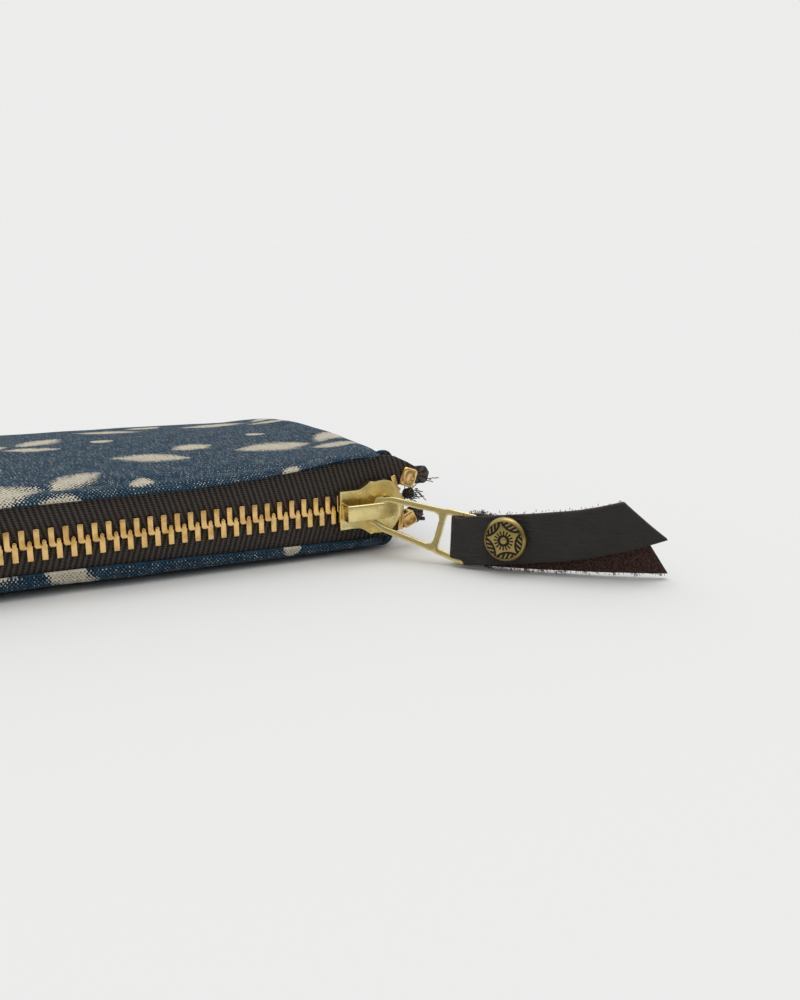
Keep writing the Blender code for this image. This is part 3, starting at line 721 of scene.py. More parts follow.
@dataclass
class ClothHalf:
    """One padded cloth half of the body, from its folded front edge to the back seam."""

    name: str
    side: Side
    node: str
    columns: int = 136
    rows: int = 78
    thick: float = 0.5 * MM
    lap: float = 1.5 * MM
    roll_share: float = 0.13
    mouth_close: float = 7 * MM
    flat_half_width: float = 79
    arc_steps: int = 200

    def section(self, x: float, share: float) -> Vector:
        """The half's outline at x.

        Args:
            x: place along the zip.
            share: 0 at the front edge and 1 at the back seam.

        Returns:
            The point's Y and Z.
        """
        turn = self.side.value
        start = Vector((FRONT_Y - self.lap, ZIP_HEIGHT + turn * seam_height(self.side, x)))
        end = Vector((BACK_Y, SIDE_SEAM + turn * SEAM_GAP))
        if self.side is Side.UPPER:
            crest = Vector((FRONT_Y + CREST_FROM_FRONT, max(CREST_HEIGHT, start.y + 0.5 * MM)))
            climb, reach, rest = crest.y - start.y, crest.x - start.x, end.x - crest.x
            stretches = [
                (start, start + Vector((0, 0.62 * climb)), crest - Vector((0.55 * reach, 0)), crest),
                (crest, crest + Vector((0.4 * rest, 0)), end + Vector((0, 0.62 * (crest.y - end.y))), end),
            ]
        else:
            toe, heel = Vector((FRONT_Y + 6 * MM, 0.0)), Vector((BACK_Y - 14 * MM, 0.0))
            run = heel - toe
            stretches = [
                (start, start - Vector((0, 0.6 * start.y)), toe - Vector((0.55 * (toe.x - start.x), 0)), toe),
                (toe, toe + run / 3, heel - run / 3, heel),
                (heel, heel + Vector((0.6 * (end.x - heel.x), 0)), end - Vector((0, 0.6 * end.y)), end),
            ]
        weights = [1.0, 1.2] if self.side is Side.UPPER else [0.5, 1.6, 0.6]
        spot = share * sum(weights)
        for stretch, weight in zip(stretches, weights):
            if spot <= weight or stretch is stretches[-1]:
                break
            spot -= weight
        points = interpolate_bezier(*stretch, 33)
        along = min(spot / weight, 1.0) * 32
        low = min(int(along), 31)
        return points[low].lerp(points[low + 1], along - low)

    def half_width(self, y: float) -> float:
        """Half the cloth's width, with its plan corners rounded.

        Args:
            y: depth in the wallet's frame.

        Returns:
            The half width at that depth.
        """
        from_edge = max(0.0, min(y - FRONT_Y, BACK_Y - y))
        short = max(0.0, 1 - from_edge / PLAN_CORNER_DEEP)
        return HALF_WIDTH - PLAN_CORNER * (1 - sqrt(max(0.0, 1 - short * short)))

    def point(self, across: float, share: float) -> Vector:
        """A point of the outer face.

        Args:
            across: -1 at the open end's side, 1 at the closed end's side.
            share: 0 at the front edge and 1 at the back seam.

        Returns:
            The point in the wallet's frame.
        """
        turn, mirror = self.side.value, -1.0 if across < 0 else 1.0
        flat_share = 1 - self.roll_share
        past = max(0.0, abs(across) - flat_share) / self.roll_share
        roll = past * pi / 2
        reach = min(abs(across) / flat_share, 1.0) * (HALF_WIDTH - SIDE_ROLL) + SIDE_ROLL * sin(roll)
        place = self.section(mirror * reach, share)
        closing = smoothstep((place.x - FRONT_Y) / self.mouth_close)
        seam = SIDE_SEAM + turn * SEAM_GAP
        hold = 1 - (1 - cos(roll)) * closing
        height = turn * (place.y - seam) * hold
        if self.side is Side.UPPER:
            tilt = CREST_RISE_LEFT * smoothstep(-mirror * reach / (60 * MM))
            tilt -= CREST_DROP_RIGHT * smoothstep(mirror * reach / HALF_WIDTH)
            height += tilt * smoothstep((place.x - FRONT_Y) / (18 * MM)) * smoothstep(height / (4 * MM))
        x = mirror * reach * self.half_width(place.x) / HALF_WIDTH
        return Vector((x, place.x, seam + turn * height))

    def crease(self, x: float, y: float, arc: float, share: float) -> float:
        """How far the cloth stands out of its smooth shape.

        Args:
            x: place along the zip.
            y: depth of the point.
            arc: distance from the front seam in millimetres.
            share: 0 at the front edge and 1 at the back seam.

        Returns:
            A length in metres: soft creases, the ridge of the seam allowance and small puckers.
        """
        soft = noise.noise(Vector((x / 0.024, y / 0.015, 3.1 + self.side.value)))
        fine = noise.noise(Vector((x / 0.0070, y / 0.0105, 9.4)))
        pucker = sin(x / 0.0010 + 2.5 * noise.noise(Vector((x / 0.012, 0.0, 0.0))))
        calm = smoothstep(min(share, 1 - share) * 14)
        strength = 0.75 + 0.5 * noise.noise(Vector((x / 0.03, 1.7, 0.0)))
        ridge = 0.32 * exp(-(((arc - 2.2) / 1.3) ** 2)) - 0.34 * exp(-(((arc - 5.2) / 1.0) ** 2))
        ridge += 0.12 * exp(-(((arc - 8.5) / 2.0) ** 2))
        by_seam = exp(-((arc / 2.4) ** 2)) * smoothstep(arc / 0.5)
        return ((0.26 * soft + 0.11 * fine) * calm + ridge * strength + 0.06 * pucker * by_seam) * MM

    def arc_table(self) -> list[float]:
        """Measure the middle section from its front edge.

        Returns:
            The distance from the front edge in millimetres, at even shares from 0 to 1.
        """
        points = [self.section(0.0, i / self.arc_steps) for i in range(self.arc_steps + 1)]
        lengths = [0.0]
        for first, second in zip(points, points[1:]):
            lengths.append(lengths[-1] + (second - first).length / MM)
        return lengths

    def build(self, finishes: Finishes) -> bpy.types.Object:
        """Make the half and hide the solid it stands for.

        Args:
            finishes: every material.

        Returns:
            The new object.
        """
        bm = bmesh.new()
        bmesh.ops.create_grid(bm, x_segments=self.columns, y_segments=self.rows, size=1.0)
        cloth = bm.verts.layers.float_vector.new("cloth")
        turn = self.side.value
        table = self.arc_table()
        laid = []
        for vert in bm.verts:
            across, level = vert.co.x, (vert.co.y + 1) / 2
            share = 0.35 * level + 0.65 * level * level
            spot = min(share * self.arc_steps, self.arc_steps - 0.001)
            low = int(spot)
            arc = table[low] + (table[low + 1] - table[low]) * (spot - low)
            vert[cloth] = (across * self.flat_half_width, turn * arc, 0.0)
            vert.co = self.point(across, share)
            laid.append((vert, arc, share))
        if turn < 0:
            bmesh.ops.reverse_faces(bm, faces=bm.faces[:])
        bm.normal_update()
        moves = [(v, v.normal * self.crease(v.co.x, v.co.y, arc, share)) for v, arc, share in laid]
        for vert, move in moves:
            vert.co += move
            vert.co.z = max(vert.co.z, 0.02 * MM)
        self.tuck_edges(bm)
        made = piece(self.name, bm, [finishes.cotton], "wallet", None)
        wall = made.modifiers.new("thickness", "SOLIDIFY")
        wall.thickness = self.thick
        wall.offset = -1.0
        round_up = made.modifiers.new("round", "SUBSURF")
        round_up.levels = round_up.render_levels = 1
        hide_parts(self.node)
        return made

    def tuck_edges(self, bm: bmesh.types.BMesh) -> None:
        """Turn the free edges in: behind the tape along the front, and into the seam round the rest.

        Args:
            bm: the half's mesh, which grows by two rows at its rim.
        """
        turn = self.side.value
        for inward, down in ((0.35, 0.22), (0.5, 0.06)):
            rim = [e for e in bm.edges if e.is_boundary]
            grown = bmesh.ops.extrude_edge_only(bm, edges=rim)
            fresh = [v for v in grown["geom"] if isinstance(v, bmesh.types.BMVert)]
            for vert in fresh:
                if vert.co.y < FRONT_Y - 0.2 * MM:
                    vert.co += Vector((0.0, inward * MM, -turn * down * MM))
                    continue
                sideways = vert.co.x / HALF_WIDTH**5 * abs(vert.co.x) ** 4
                backwards = vert.co.y / BACK_Y**5 * vert.co.y**4
                out = Vector((sideways, backwards))
                out.normalize()
                vert.co += Vector((-out.x * inward * MM, -out.y * inward * MM, -turn * down * MM * 0.3))


@dataclass
class Tape:
    """One side of the zip's tape, from its teeth to behind the cloth, with a frayed free end."""

    name: str
    side: Side
    node: str
    start: float = -73.0 * MM
    corner: float = 64.5 * MM
    columns_per_rib: int = 6
    rib: float = 1.02 * MM
    rows: int = 14
    slant: float = 0.3
    thick: float = 0.6 * MM
    narrow_from: float = -65 * MM
    narrow_over: float = 8 * MM
    draw_in: float = 1.3 * MM
    draw_from: float = -63.5 * MM
    draw_over: float = 4 * MM

    def inner(self, x: float) -> float:
        """The edge by the teeth.

        Args:
            x: place along the zip.

        Returns:
            Its distance from the chain's middle.
        """
        if x < BOTTOM_STOP_X - 1.2 * MM:
            return 0.04 * MM
        return 0.35 * MM + row_spread(self.side, x)

    def set_back(self, x: float) -> float:
        """How far the tape follows the body's rounded corner back at the far end.

        Args:
            x: place along the zip.

        Returns:
            A length in metres.
        """
        level = min(max(1 - (HALF_WIDTH + x) / PLAN_CORNER, 0.0), 1.0)
        inside = self.draw_in * smoothstep((self.draw_from - x) / self.draw_over)
        return PLAN_CORNER_DEEP * (1 - sqrt(1 - level * level)) + inside

    def outer(self, x: float) -> float:
        """The edge away from the teeth.

        Args:
            x: place along the zip.

        Returns:
            Its distance from the chain's middle: behind the cloth, and past it the slanting free edge.
        """
        if x <= self.corner:
            drop = 0.7 if self.side is Side.UPPER else 0.45
            low = 1 - drop * smoothstep((self.narrow_from - x) / self.narrow_over)
            return (seam_height(self.side, x) + 0.5 * MM) * low
        edge = self.free_edge()
        for (x0, z0), (x1, z1) in zip(edge, edge[1:]):
            if x <= x1 * MM:
                return (z0 + (z1 - z0) * (x / MM - x0) / (x1 - x0)) * MM
        return edge[-1][1] * MM

    def free_edge(self) -> list[tuple[float, float]]:
        """The slanting edge past the cloth: places along the zip and widths, in millimetres."""
        if self.side is Side.UPPER:
            return [(64.5, 10.3), (68, 9.5), (71, 8.0), (75.2, 5.4)]
        return [(64.5, 7.0), (68, 6.2), (72, 5.0), (74.9, 4.0)]

    def build(self, finishes: Finishes) -> bpy.types.Object:
        """Make the tape with real ribs.

        Args:
            finishes: every material.

        Returns:
            The new object.
        """
        end = self.free_edge()[-1][0] * MM
        columns = int((end - self.start) / self.rib * self.columns_per_rib)
        bm = bmesh.new()
        bmesh.ops.create_grid(bm, x_segments=columns, y_segments=self.rows, size=1.0)
        ribs = bm.verts.layers.float_vector.new("ribs")
        turn = self.side.value
        for vert in bm.verts:
            x = self.start + (end - self.start) * (vert.co.x + 1) / 2
            share = (vert.co.y + 1) / 2
            low, high = self.inner(x), self.outer(x)
            if high < low + 0.8 * MM:
                high = low + 0.8 * MM
            away = low + (high - low) * share
            phase = (x + self.slant * away) / self.rib * 2 * pi
            vert[ribs] = (phase, away / (0.42 * MM) * 2 * pi, 0.0)
            bulge = 0.20 * MM * sin(share * pi)
            front = FRONT_Y - self.thick / 2 - bulge + 0.06 * MM * sin(phase) + self.set_back(x)
            vert.co = (x, front, ZIP_HEIGHT + turn * away)
        if turn < 0:
            bmesh.ops.reverse_faces(bm, faces=bm.faces[:])
        made = piece(self.name, bm, [finishes.tape], "wallet", None)
        wall = made.modifiers.new("thickness", "SOLIDIFY")
        wall.thickness = self.thick
        wall.offset = -1.0
        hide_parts(self.node)
        width = end - self.start
        places = [self.start + width * (i + 0.5) / 200 for i in range(200)]
        area = sum(self.outer(x) - self.inner(x) for x in places) * width / 200
        return made


@dataclass
class TeethRow:
    """One row of cast teeth, clamped on the corded edge of its tape."""

    name: str
    side: Side
    node: str
    depth: float = 2.4 * MM
    first: float = 68.0 * MM
    back: float = 2.875
    rounding: float = 0.22 * MM

    def outline(self) -> list[tuple[float, float]]:
        """The outline of one tooth.

        Returns:
            Its corners in millimetres in X and Z, with Z out of the chain's middle.
        """
        if self.side is Side.UPPER:
            return [
                (-0.55, self.back),
                (0.55, self.back),
                (0.52, 0.55),
                (0.62, 0.05),
                (0.95, -0.10),
                (1.00, -0.45),
                (0.55, -0.72),
                (-0.25, -0.70),
                (-0.50, -0.30),
                (-0.52, 1.0),
            ]
        return [
            (-0.55, self.back),
            (0.55, self.back),
            (0.52, 0.7),
            (0.55, 0.15),
            (0.35, -0.12),
            (0.42, -0.5),
            (0.15, -0.85),
            (-0.25, -0.80),
            (-0.42, -0.45),
            (-0.38, 0.05),
            (-0.55, 0.3),
        ]

    def places(self) -> list[float]:
        """Where each tooth sits along the zip.

        Returns:
            Its places, from the closed end to the far stop.
        """
        first = self.first + (TOOTH_PITCH / 2 if self.side is Side.LOWER else 0)
        last = BOTTOM_STOP_X + 2.35 * MM
        return [first - TOOTH_PITCH * i for i in range(floor((first - last) / TOOTH_PITCH) + 1)]

    def build(self, finishes: Finishes) -> bpy.types.Object:
        """Make the row.

        Args:
            finishes: every material.

        Returns:
            The new object.
        """
        turn = self.side.value
        shape = [(x * MM, turn * z * MM) for x, z in self.outline()]
        tooth = slab(shape, -self.depth / 2, self.depth / 2)
        round_off(tooth, self.rounding, 3, 20)
        row = bmesh.new()
        for x in self.places():
            spread = row_spread(self.side, x)
            lean = (row_spread(self.side, x + MM) - row_spread(self.side, x - MM)) / (2 * MM)
            turned = Matrix.Rotation(-turn * atan2(lean, 1.0), 4, "Y")
            merge(row, tooth, Matrix.Translation((x, FRONT_Y, ZIP_HEIGHT + turn * spread)) @ turned)
        tooth.free()
        made = piece(self.name, row, [finishes.brass], "wallet", 35)
        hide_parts(self.node)
        return made


@dataclass
class StopPiece:
    """A stop clamped over a tape's edge at an end of the zip."""

    name: str
    node: str
    centre: tuple[float, float]
    size: tuple[float, float, float]
    tilt: float = 0.0

    def build(self, finishes: Finishes) -> bpy.types.Object:
        """Make the stop: a rounded block, waisted where it was pressed.

        Args:
            finishes: every material.

        Returns:
            The new object.
        """
        bm = bmesh.new()
        bmesh.ops.create_cube(bm, size=2.0)
        bmesh.ops.subdivide_edges(bm, edges=bm.edges[:], cuts=11, use_grid_fill=True)
        for vert in bm.verts:
            spot = on_rounded_block(vert.co, 5)
            pinch = 1 - 0.18 * (1 - spot.z**2)
            dent = 0.22 * exp(-(((spot.x - 0.25) / 0.35) ** 2) - ((spot.z + 0.1) / 0.35) ** 2)
            deep = spot.y * pinch + (dent if spot.y < 0 else 0.0)
            vert.co = (spot.x * self.size[0] / 2, deep * self.size[1] / 2, spot.z * self.size[2] / 2)
        place = Matrix.Translation((self.centre[0], FRONT_Y, self.centre[1]))
        bm.transform(place @ Matrix.Rotation(radians(self.tilt), 4, "Y"))
        made = piece(self.name, bm, [finishes.brass], "wallet", 35)
        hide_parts(self.node)
        return made


@dataclass
class Slider:
    """The slider: two shaped plates with bent-in flanges, and the bridge for the pull."""

    inside: float = 1.55 * MM
    outside: float = 2.55 * MM
    bridge_face: float = 5.45 * MM
    rim: float = 0.5 * MM
    sunk: float = 0.16 * MM
    flange_thick: float = 0.55 * MM
    flange_edge: float = 0.65 * MM
    flange_corners: int = 8

    def half_outline(self) -> list[tuple[float, float]]:
        """The plate's upper half.

        Returns:
            Its corners in X and Z from the rear to the nose, about the slider's middle.
        """
        flange = [(-7.0, 3.9), (-3.6, 3.85), (-2.7, 3.95), (-1.8, 4.4)]
        shoulder = [(-1.0, 4.95), (-0.5, 5.38), (0.0, 5.38), (0.35, 5.2), (1.6, 5.35), (3.2, 5.3)]
        nose = [(4.2, 4.95), (5.0, 4.2), (5.7, 3.2), (6.5, 1.9), (7.0, 1.1)]
        return [(x * MM, z * MM) for x, z in flange + shoulder + nose]

    def build(self, finishes: Finishes) -> None:
        """Make the plates and the bridge.

        Args:
            finishes: every material.
        """
        half = self.half_outline()
        outline = half + [(x, -z) for x, z in reversed(half)]
        body = slab(outline, -self.outside, -self.inside)
        front = [f for f in body.faces if f.normal.y < -0.9]
        bmesh.ops.inset_region(body, faces=front, thickness=self.rim, depth=-self.sunk, use_even_offset=True)
        round_off(body, 0.13 * MM, 3, 30)
        back = slab(outline, self.inside, self.outside)
        round_off(back, 0.28 * MM, 3, 30)
        merge(body, back)
        back.free()
        for turn in (-1, 1):
            run = [(x, turn * z) for x, z in half[: self.flange_corners]]
            strip = run + [(x, z - turn * self.flange_thick) for x, z in reversed(run)]
            depth = self.inside + 0.5 * MM
            for low, high in ((-depth, -self.flange_edge), (self.flange_edge, depth)):
                flange = slab(strip, low, high)
                round_off(flange, 0.12 * MM, 2, 40)
                merge(body, flange)
                flange.free()
        wedge = [(1.6, 0.0), (2.2, 0.5), (6.2, 1.2), (6.7, 0.8), (6.7, -0.8), (6.2, -1.2), (2.2, -0.5)]
        divider = slab([(x * MM, z * MM) for x, z in wedge], -self.inside - 0.3 * MM, self.inside + 0.3 * MM)
        merge(body, divider)
        divider.free()
        body.transform(Matrix.Translation((SLIDER_X, FRONT_Y, ZIP_HEIGHT)))
        made = piece("slider_plates", body, [finishes.gold], "slider", 35)
        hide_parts("slider_body")
        self.build_bridge(finishes)

    def build_bridge(self, finishes: Finishes) -> None:
        """Make the stamped strap over the front plate.

        Args:
            finishes: every material.
        """
        face, seat, thick = -self.bridge_face, -self.outside + 0.1 * MM, 0.9 * MM
        rear, front = -6.7 * MM, 5.05 * MM
        profile = [
            (rear, seat),
            (rear, face + 0.9 * MM),
            (rear + 0.25 * MM, face + 0.25 * MM),
            (rear + 0.9 * MM, face),
            (front - 0.9 * MM, face),
            (front - 0.25 * MM, face + 0.25 * MM),
            (front, face + 0.9 * MM),
            (front, seat),
            (front - thick, seat),
            (front - thick, face + thick + 0.3 * MM),
            (front - thick - 0.3 * MM, face + thick),
            (rear + thick + 0.3 * MM, face + thick),
            (rear + thick, face + thick + 0.3 * MM),
            (rear + thick, seat),
        ]
        bm = slab(profile, -1.8 * MM, 1.5 * MM)
        round_off(bm, 0.3 * MM, 3, 50)
        upright = Matrix(((1, 0, 0, 0), (0, 0, 1, 0), (0, 1, 0, 0), (0, 0, 0, 1)))
        bm.transform(Matrix.Translation((SLIDER_X, FRONT_Y, ZIP_HEIGHT)) @ upright)
        bmesh.ops.recalc_face_normals(bm, faces=bm.faces[:])
        made = piece("slider_strap", bm, [finishes.gold], "slider", 35)
        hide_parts("slider_bridge")


@dataclass
class Pull:
    """The open cast frame from the bar under the bridge to the bar in the leather."""

    thick: float = 1.4 * MM

    def loops(self) -> list[list[tuple[float, float]]]:
        """The frame's outline and both windows.

        Returns:
            Three closed loops, in millimetres along and across the pull.
        """
        half = [(-0.45, 1.9), (-0.3, 2.5), (0.3, 2.85), (1.2, 2.95), (2.0, 3.3), (2.9, 3.58)]
        half += [(3.6, 3.64), (13.9, 4.38), (14.3, 4.58), (19.9, 4.95), (20.3, 4.75), (20.4, 4.4)]
        window = [(0.6, 1.5), (0.7, 1.9), (1.6, 2.05), (2.5, 2.38)]
        window += [(3.2, 2.48), (12.0, 3.1), (12.9, 2.8), (13.25, 2.0)]
        slot = [(14.35, 3.0), (14.5, 3.3), (14.9, 3.45), (18.6, 3.9), (19.05, 3.75), (19.2, 3.3)]
        return [side + [(u, -w) for u, w in reversed(side)] for side in (half, window, slot)]

    def build(self, finishes: Finishes) -> bpy.types.Object:
        """Make the frame.

        Args:
            finishes: every material.

        Returns:
            The new object.
        """
        bm = bmesh.new()
        edges = []
        for loop in self.loops():
            verts = [bm.verts.new((u * MM, -self.thick / 2, w * MM)) for u, w in loop]
            edges += [bm.edges.new(pair) for pair in zip(verts, verts[1:] + verts[:1])]
        bmesh.ops.triangle_fill(bm, edges=edges, use_beauty=True, use_dissolve=False)
        pulled = bmesh.ops.extrude_face_region(bm, geom=bm.faces[:])
        moved = [v for v in pulled["geom"] if isinstance(v, bmesh.types.BMVert)]
        bmesh.ops.translate(bm, verts=moved, vec=(0, self.thick, 0))
        bmesh.ops.recalc_face_normals(bm, faces=bm.faces[:])
        round_off(bm, 0.25 * MM, 3, 60)
        bm.transform(pull_matrix())
        bmesh.ops.recalc_face_normals(bm, faces=bm.faces[:])
        made = piece("pull_frame", bm, [finishes.gold], "pull", 35)
        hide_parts("pull")
        return made


@dataclass
class LeatherTab:
    """One strip of leather folded through the pull and held by a rivet."""

    width: float = 9.4 * MM
    thick: float = 1.3 * MM
    heading: float = radians(48)
    turn_per_m: float = radians(420)
    lean: float = radians(6.5)
    fold_share: float = 0.16
    straight: float = 1.05 * MM
    inner: float = 2.4 * MM
    front_length: float = 37.2 * MM
    rear_length: float = 37.3 * MM
    front_cut: float = 8.0 * MM
    rear_cut: float = 5.8 * MM
    rivet_from_bar: float = 8.1 * MM

    def matrix(self) -> Matrix:
        """The tab's axes at rest.

        Returns:
            A matrix with X along its heading, Y back and Z up, from the middle of the pull's end bar.
        """
        along = Vector((cos(self.heading), -sin(self.heading), 0))
        back = Vector((sin(self.heading), cos(self.heading), 0))
        turn = Matrix((along, back, Vector((0, 0, 1)))).transposed().to_4x4()
        pull = pull_matrix()
        end = pull.translation + pull.to_3x3() @ Vector((PULL_REACH, 0, 0))
        return Matrix.Translation(end) @ turn

    def middle(self, front: bool, s: float) -> tuple[float, float, float]:
        """The strip's middle line.

        Args:
            front: whether it is the front tail.
            s: distance from the bar.

        Returns:
            How far back and how high the line is there, and the strip's lean.
        """
        open_half = self.inner / 2 + self.thick / 2
        bend = self.turn_per_m * s * s / 2 * (s > 0)
        if front:
            back = -open_half
            up = 0.2 * MM + 0.127 * max(s, 0) + 6.0 * max(0.0, s - 16 * MM) ** 2
        else:
            pinched = -open_half + self.thick + 0.3 * MM
            back = open_half + (pinched - open_half) * smoothstep((s - 1.6 * MM) / (3.6 * MM))
            up = 0.02 * max(s, 0)
        return back + bend, up, self.lean * (1 - smoothstep(s / (30 * MM)))

    def point(self, share: float, level: float) -> Vector:
        """A point of the strip's middle sheet, in the tab's axes.

        Args:
            share: -1 at the rear tail, 0 at the fold, 1 at the front tail.
            level: 0 at the lower edge and 1 at the upper one.

        Returns:
            The point.
        """
        front = share >= 0
        radius = self.inner / 2 + self.thick / 2
        trim_low, trim_high = 1.05 * MM, 0.35 * MM
        if abs(share) < self.fold_share:
            angle = share / self.fold_share * pi / 2
            z = -self.width / 2 + trim_low + (self.width - trim_low - trim_high) * level
            _, up, lean = self.middle(front, 0.0)
            up *= abs(sin(angle))
            back = -radius * sin(angle) + z * sin(lean)
            return Vector((-self.straight - radius * cos(angle), back, up + z * cos(lean)))
        length, slant = (self.front_length, self.front_cut) if front else (self.rear_length, self.rear_cut)
        reach = length - slant * level
        part = (abs(share) - self.fold_share) / (1 - self.fold_share)
        s = -self.straight + (reach + self.straight) * part
        narrow = 1 - smoothstep((s + 0.8 * MM) / (1.2 * MM))
        low = -self.width / 2 + trim_low * narrow
        z = low + (self.width / 2 - trim_high * narrow - low) * level
        back, up, lean = self.middle(front, s)
        return Vector((s, back + z * sin(lean), up + z * cos(lean)))

    def build(self, finishes: Finishes) -> bpy.types.Object:
        """Make the strip, grain side out.

        Args:
            finishes: every material.

        Returns:
            The new object.
        """
        bm = bmesh.new()
        bmesh.ops.create_grid(bm, x_segments=150, y_segments=16, size=1.0)
        for vert in bm.verts:
            share, level = vert.co.x, (vert.co.y + 1) / 2
            warp = 0.22 * MM * noise.noise(Vector((share * 7, level * 1.5, 2.0)))
            if abs(share) < 0.5:
                warp = 0.0
            vert.co = self.point(share, level) + Vector((0, warp, 0))
        bm.transform(self.matrix())
        bm.normal_update()
        made = piece("leather_strip", bm, [finishes.grain, finishes.flesh], "tab", None)
        wall = made.modifiers.new("thickness", "SOLIDIFY")
        wall.thickness = self.thick
        wall.offset = 0.0
        wall.material_offset = 1
        wall.material_offset_rim = 1
        edge = made.modifiers.new("edges", "BEVEL")
        edge.width = 0.18 * MM
        edge.segments = 2
        edge.limit_method = "ANGLE"
        edge.angle_limit = radians(50)
        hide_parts("leather_tab")
        return made

    def rivet_matrix(self) -> Matrix:
        """The rivet's axes.

        Returns:
            A matrix with Z out of the front face, from the front layer's middle.
        """
        back, up, lean = self.middle(True, self.rivet_from_bar)
        place = self.matrix() @ Matrix.Translation((self.rivet_from_bar, back, up + 0.3 * MM))
        return place @ Matrix.Rotation(-lean, 4, "X") @ Matrix.Rotation(radians(94), 4, "X")


@dataclass
class RivetCap:
    """The domed cap, with a five-pointed star and a sunburst in relief."""

    radius: float = 4.25 * MM
    seat: float = 0.85 * MM
    rings: int = 96
    spokes: int = 240

    def relief(self, r: float, angle: float) -> float:
        """Height of the relief in millimetres.

        Args:
            r: distance from the middle, in shares of the radius.
            angle: the direction from the middle.

        Returns:
            The height above the plain dome, negative in the recesses.
        """
        if r < 0.15:
            return 0.02 + 0.14 * sqrt(1 - (r / 0.15) ** 2)
        if r < 0.27:
            return -0.12
        if r < 0.46:
            return -0.13 * smoothstep(cos(16 * angle) * 1.6 + 0.1) * smoothstep((0.46 - r) * 20)
        turned = (angle - radians(66)) % radians(72)
        turned = turned - radians(72) if turned > radians(36) else turned
        x, y = r * cos(turned), r * sin(turned)
        inside = 0.78 - sqrt((x - 1.28) ** 2 + y * y)
        if r > 0.85 or inside < 0:
            return 0.0
        if inside < 0.09:
            return -0.17
        bar = sin((y * 0.8 + x * 0.6) / 0.17 * 2 * pi)
        return -0.16 + 0.15 * smoothstep(bar * 1.6 + 0.4) * smoothstep((0.85 - r) * 30)

    def dome_height(self, r: float) -> float:
        """The plain dome's height over its seat in millimetres, at a share of the radius."""
        past = min(max((r - 0.80) / 0.20, 0.0), 1.0)
        return 1.7 - 0.45 * r * r - 0.9 * (1 - sqrt(1 - past * past))

    def build(self, finishes: Finishes, place: Matrix) -> bpy.types.Object:
        """Make the cap, with its edge turned down to the seat.

        Args:
            finishes: every material.
            place: the rivet's axes.

        Returns:
            The new object.
        """
        bm = bmesh.new()
        level = bm.verts.layers.float.new("relief")
        line = [bm.verts.new((self.radius * i / self.rings, 0, 0)) for i in range(1, self.rings + 1)]
        edges = [bm.edges.new(pair) for pair in zip(line, line[1:])]
        bmesh.ops.spin(
            bm,
            geom=line + edges,
            cent=(0, 0, 0),
            axis=(0, 0, 1),
            angle=2 * pi,
            steps=self.spokes,
            use_merge=True,
        )
        bmesh.ops.remove_doubles(bm, verts=bm.verts[:], dist=1e-7)
        inner = min(v.co.xy.length for v in bm.verts) * 1.01
        hole = [e for e in bm.edges if e.is_boundary and e.verts[0].co.xy.length < inner]
        bmesh.ops.contextual_create(bm, geom=hole)
        for vert in bm.verts:
            r, angle = vert.co.xy.length / self.radius, atan2(vert.co.y, vert.co.x)
            height = self.relief(r, angle)
            vert[level] = 0.80 + 4.6 * height
            vert.co.z = self.seat + (self.dome_height(r) + height) * MM
        rim = [e for e in bm.edges if e.is_boundary]
        for inward, down in ((0.02, 0.3), (0.3, 0.9)):
            grown = bmesh.ops.extrude_edge_only(bm, edges=rim)
            fresh = [v for v in grown["geom"] if isinstance(v, bmesh.types.BMVert)]
            for vert in fresh:
                short = 1 - inward * MM / self.radius
                vert.co = (vert.co.x * short, vert.co.y * short, max(self.seat, vert.co.z - down * MM))
            rim = [e for e in grown["geom"] if isinstance(e, bmesh.types.BMEdge)]
        bmesh.ops.recalc_face_normals(bm, faces=bm.faces[:])
        bm.transform(place)
        made = piece("rivet_star_cap", bm, [finishes.antique], "tab", None)
        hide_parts("rivet_cap")
        return made


@dataclass
class Fibres:
    """Short loose threads, each a thin bent tube."""

    name: str
    body: str
    slot: str
    radius: float

    def build(self, roots: Sequence[Root], finish: bpy.types.Material, seed: int) -> bpy.types.Object:
        """Make a thread from each root.

        Args:
            roots: where each thread starts, and its direction times its length.
            finish: the threads' material.
            seed: start of the random draws.

        Returns:
            The object that holds all threads.
        """
        draw = random.Random(seed)
        bm = bmesh.new()
        for root, reach in roots:
            thread = bmesh.new()
            bmesh.ops.create_circle(thread, segments=3, radius=self.radius, cap_ends=True)
            turn = reach.to_track_quat("Z", "Y").to_matrix().to_4x4()
            thread.transform(Matrix.Translation(root) @ turn)
            face = thread.faces[:][0]
            step = reach / 4
            for i in range(4):
                grown = bmesh.ops.extrude_face_region(thread, geom=[face])["geom"]
                fresh = [g for g in grown if isinstance(g, bmesh.types.BMVert)]
                bend = Vector([draw.uniform(-1, 1) for _ in range(3)]) * step.length * 0.45
                bmesh.ops.translate(thread, verts=fresh, vec=step + bend)
                if i:
                    bmesh.ops.delete(thread, geom=[face], context="FACES_ONLY")
                face = next(g for g in grown if isinstance(g, bmesh.types.BMFace))
            merge(bm, thread)
            thread.free()
        bmesh.ops.recalc_face_normals(bm, faces=bm.faces[:])
        return piece(self.name, bm, [finish], self.body, None)


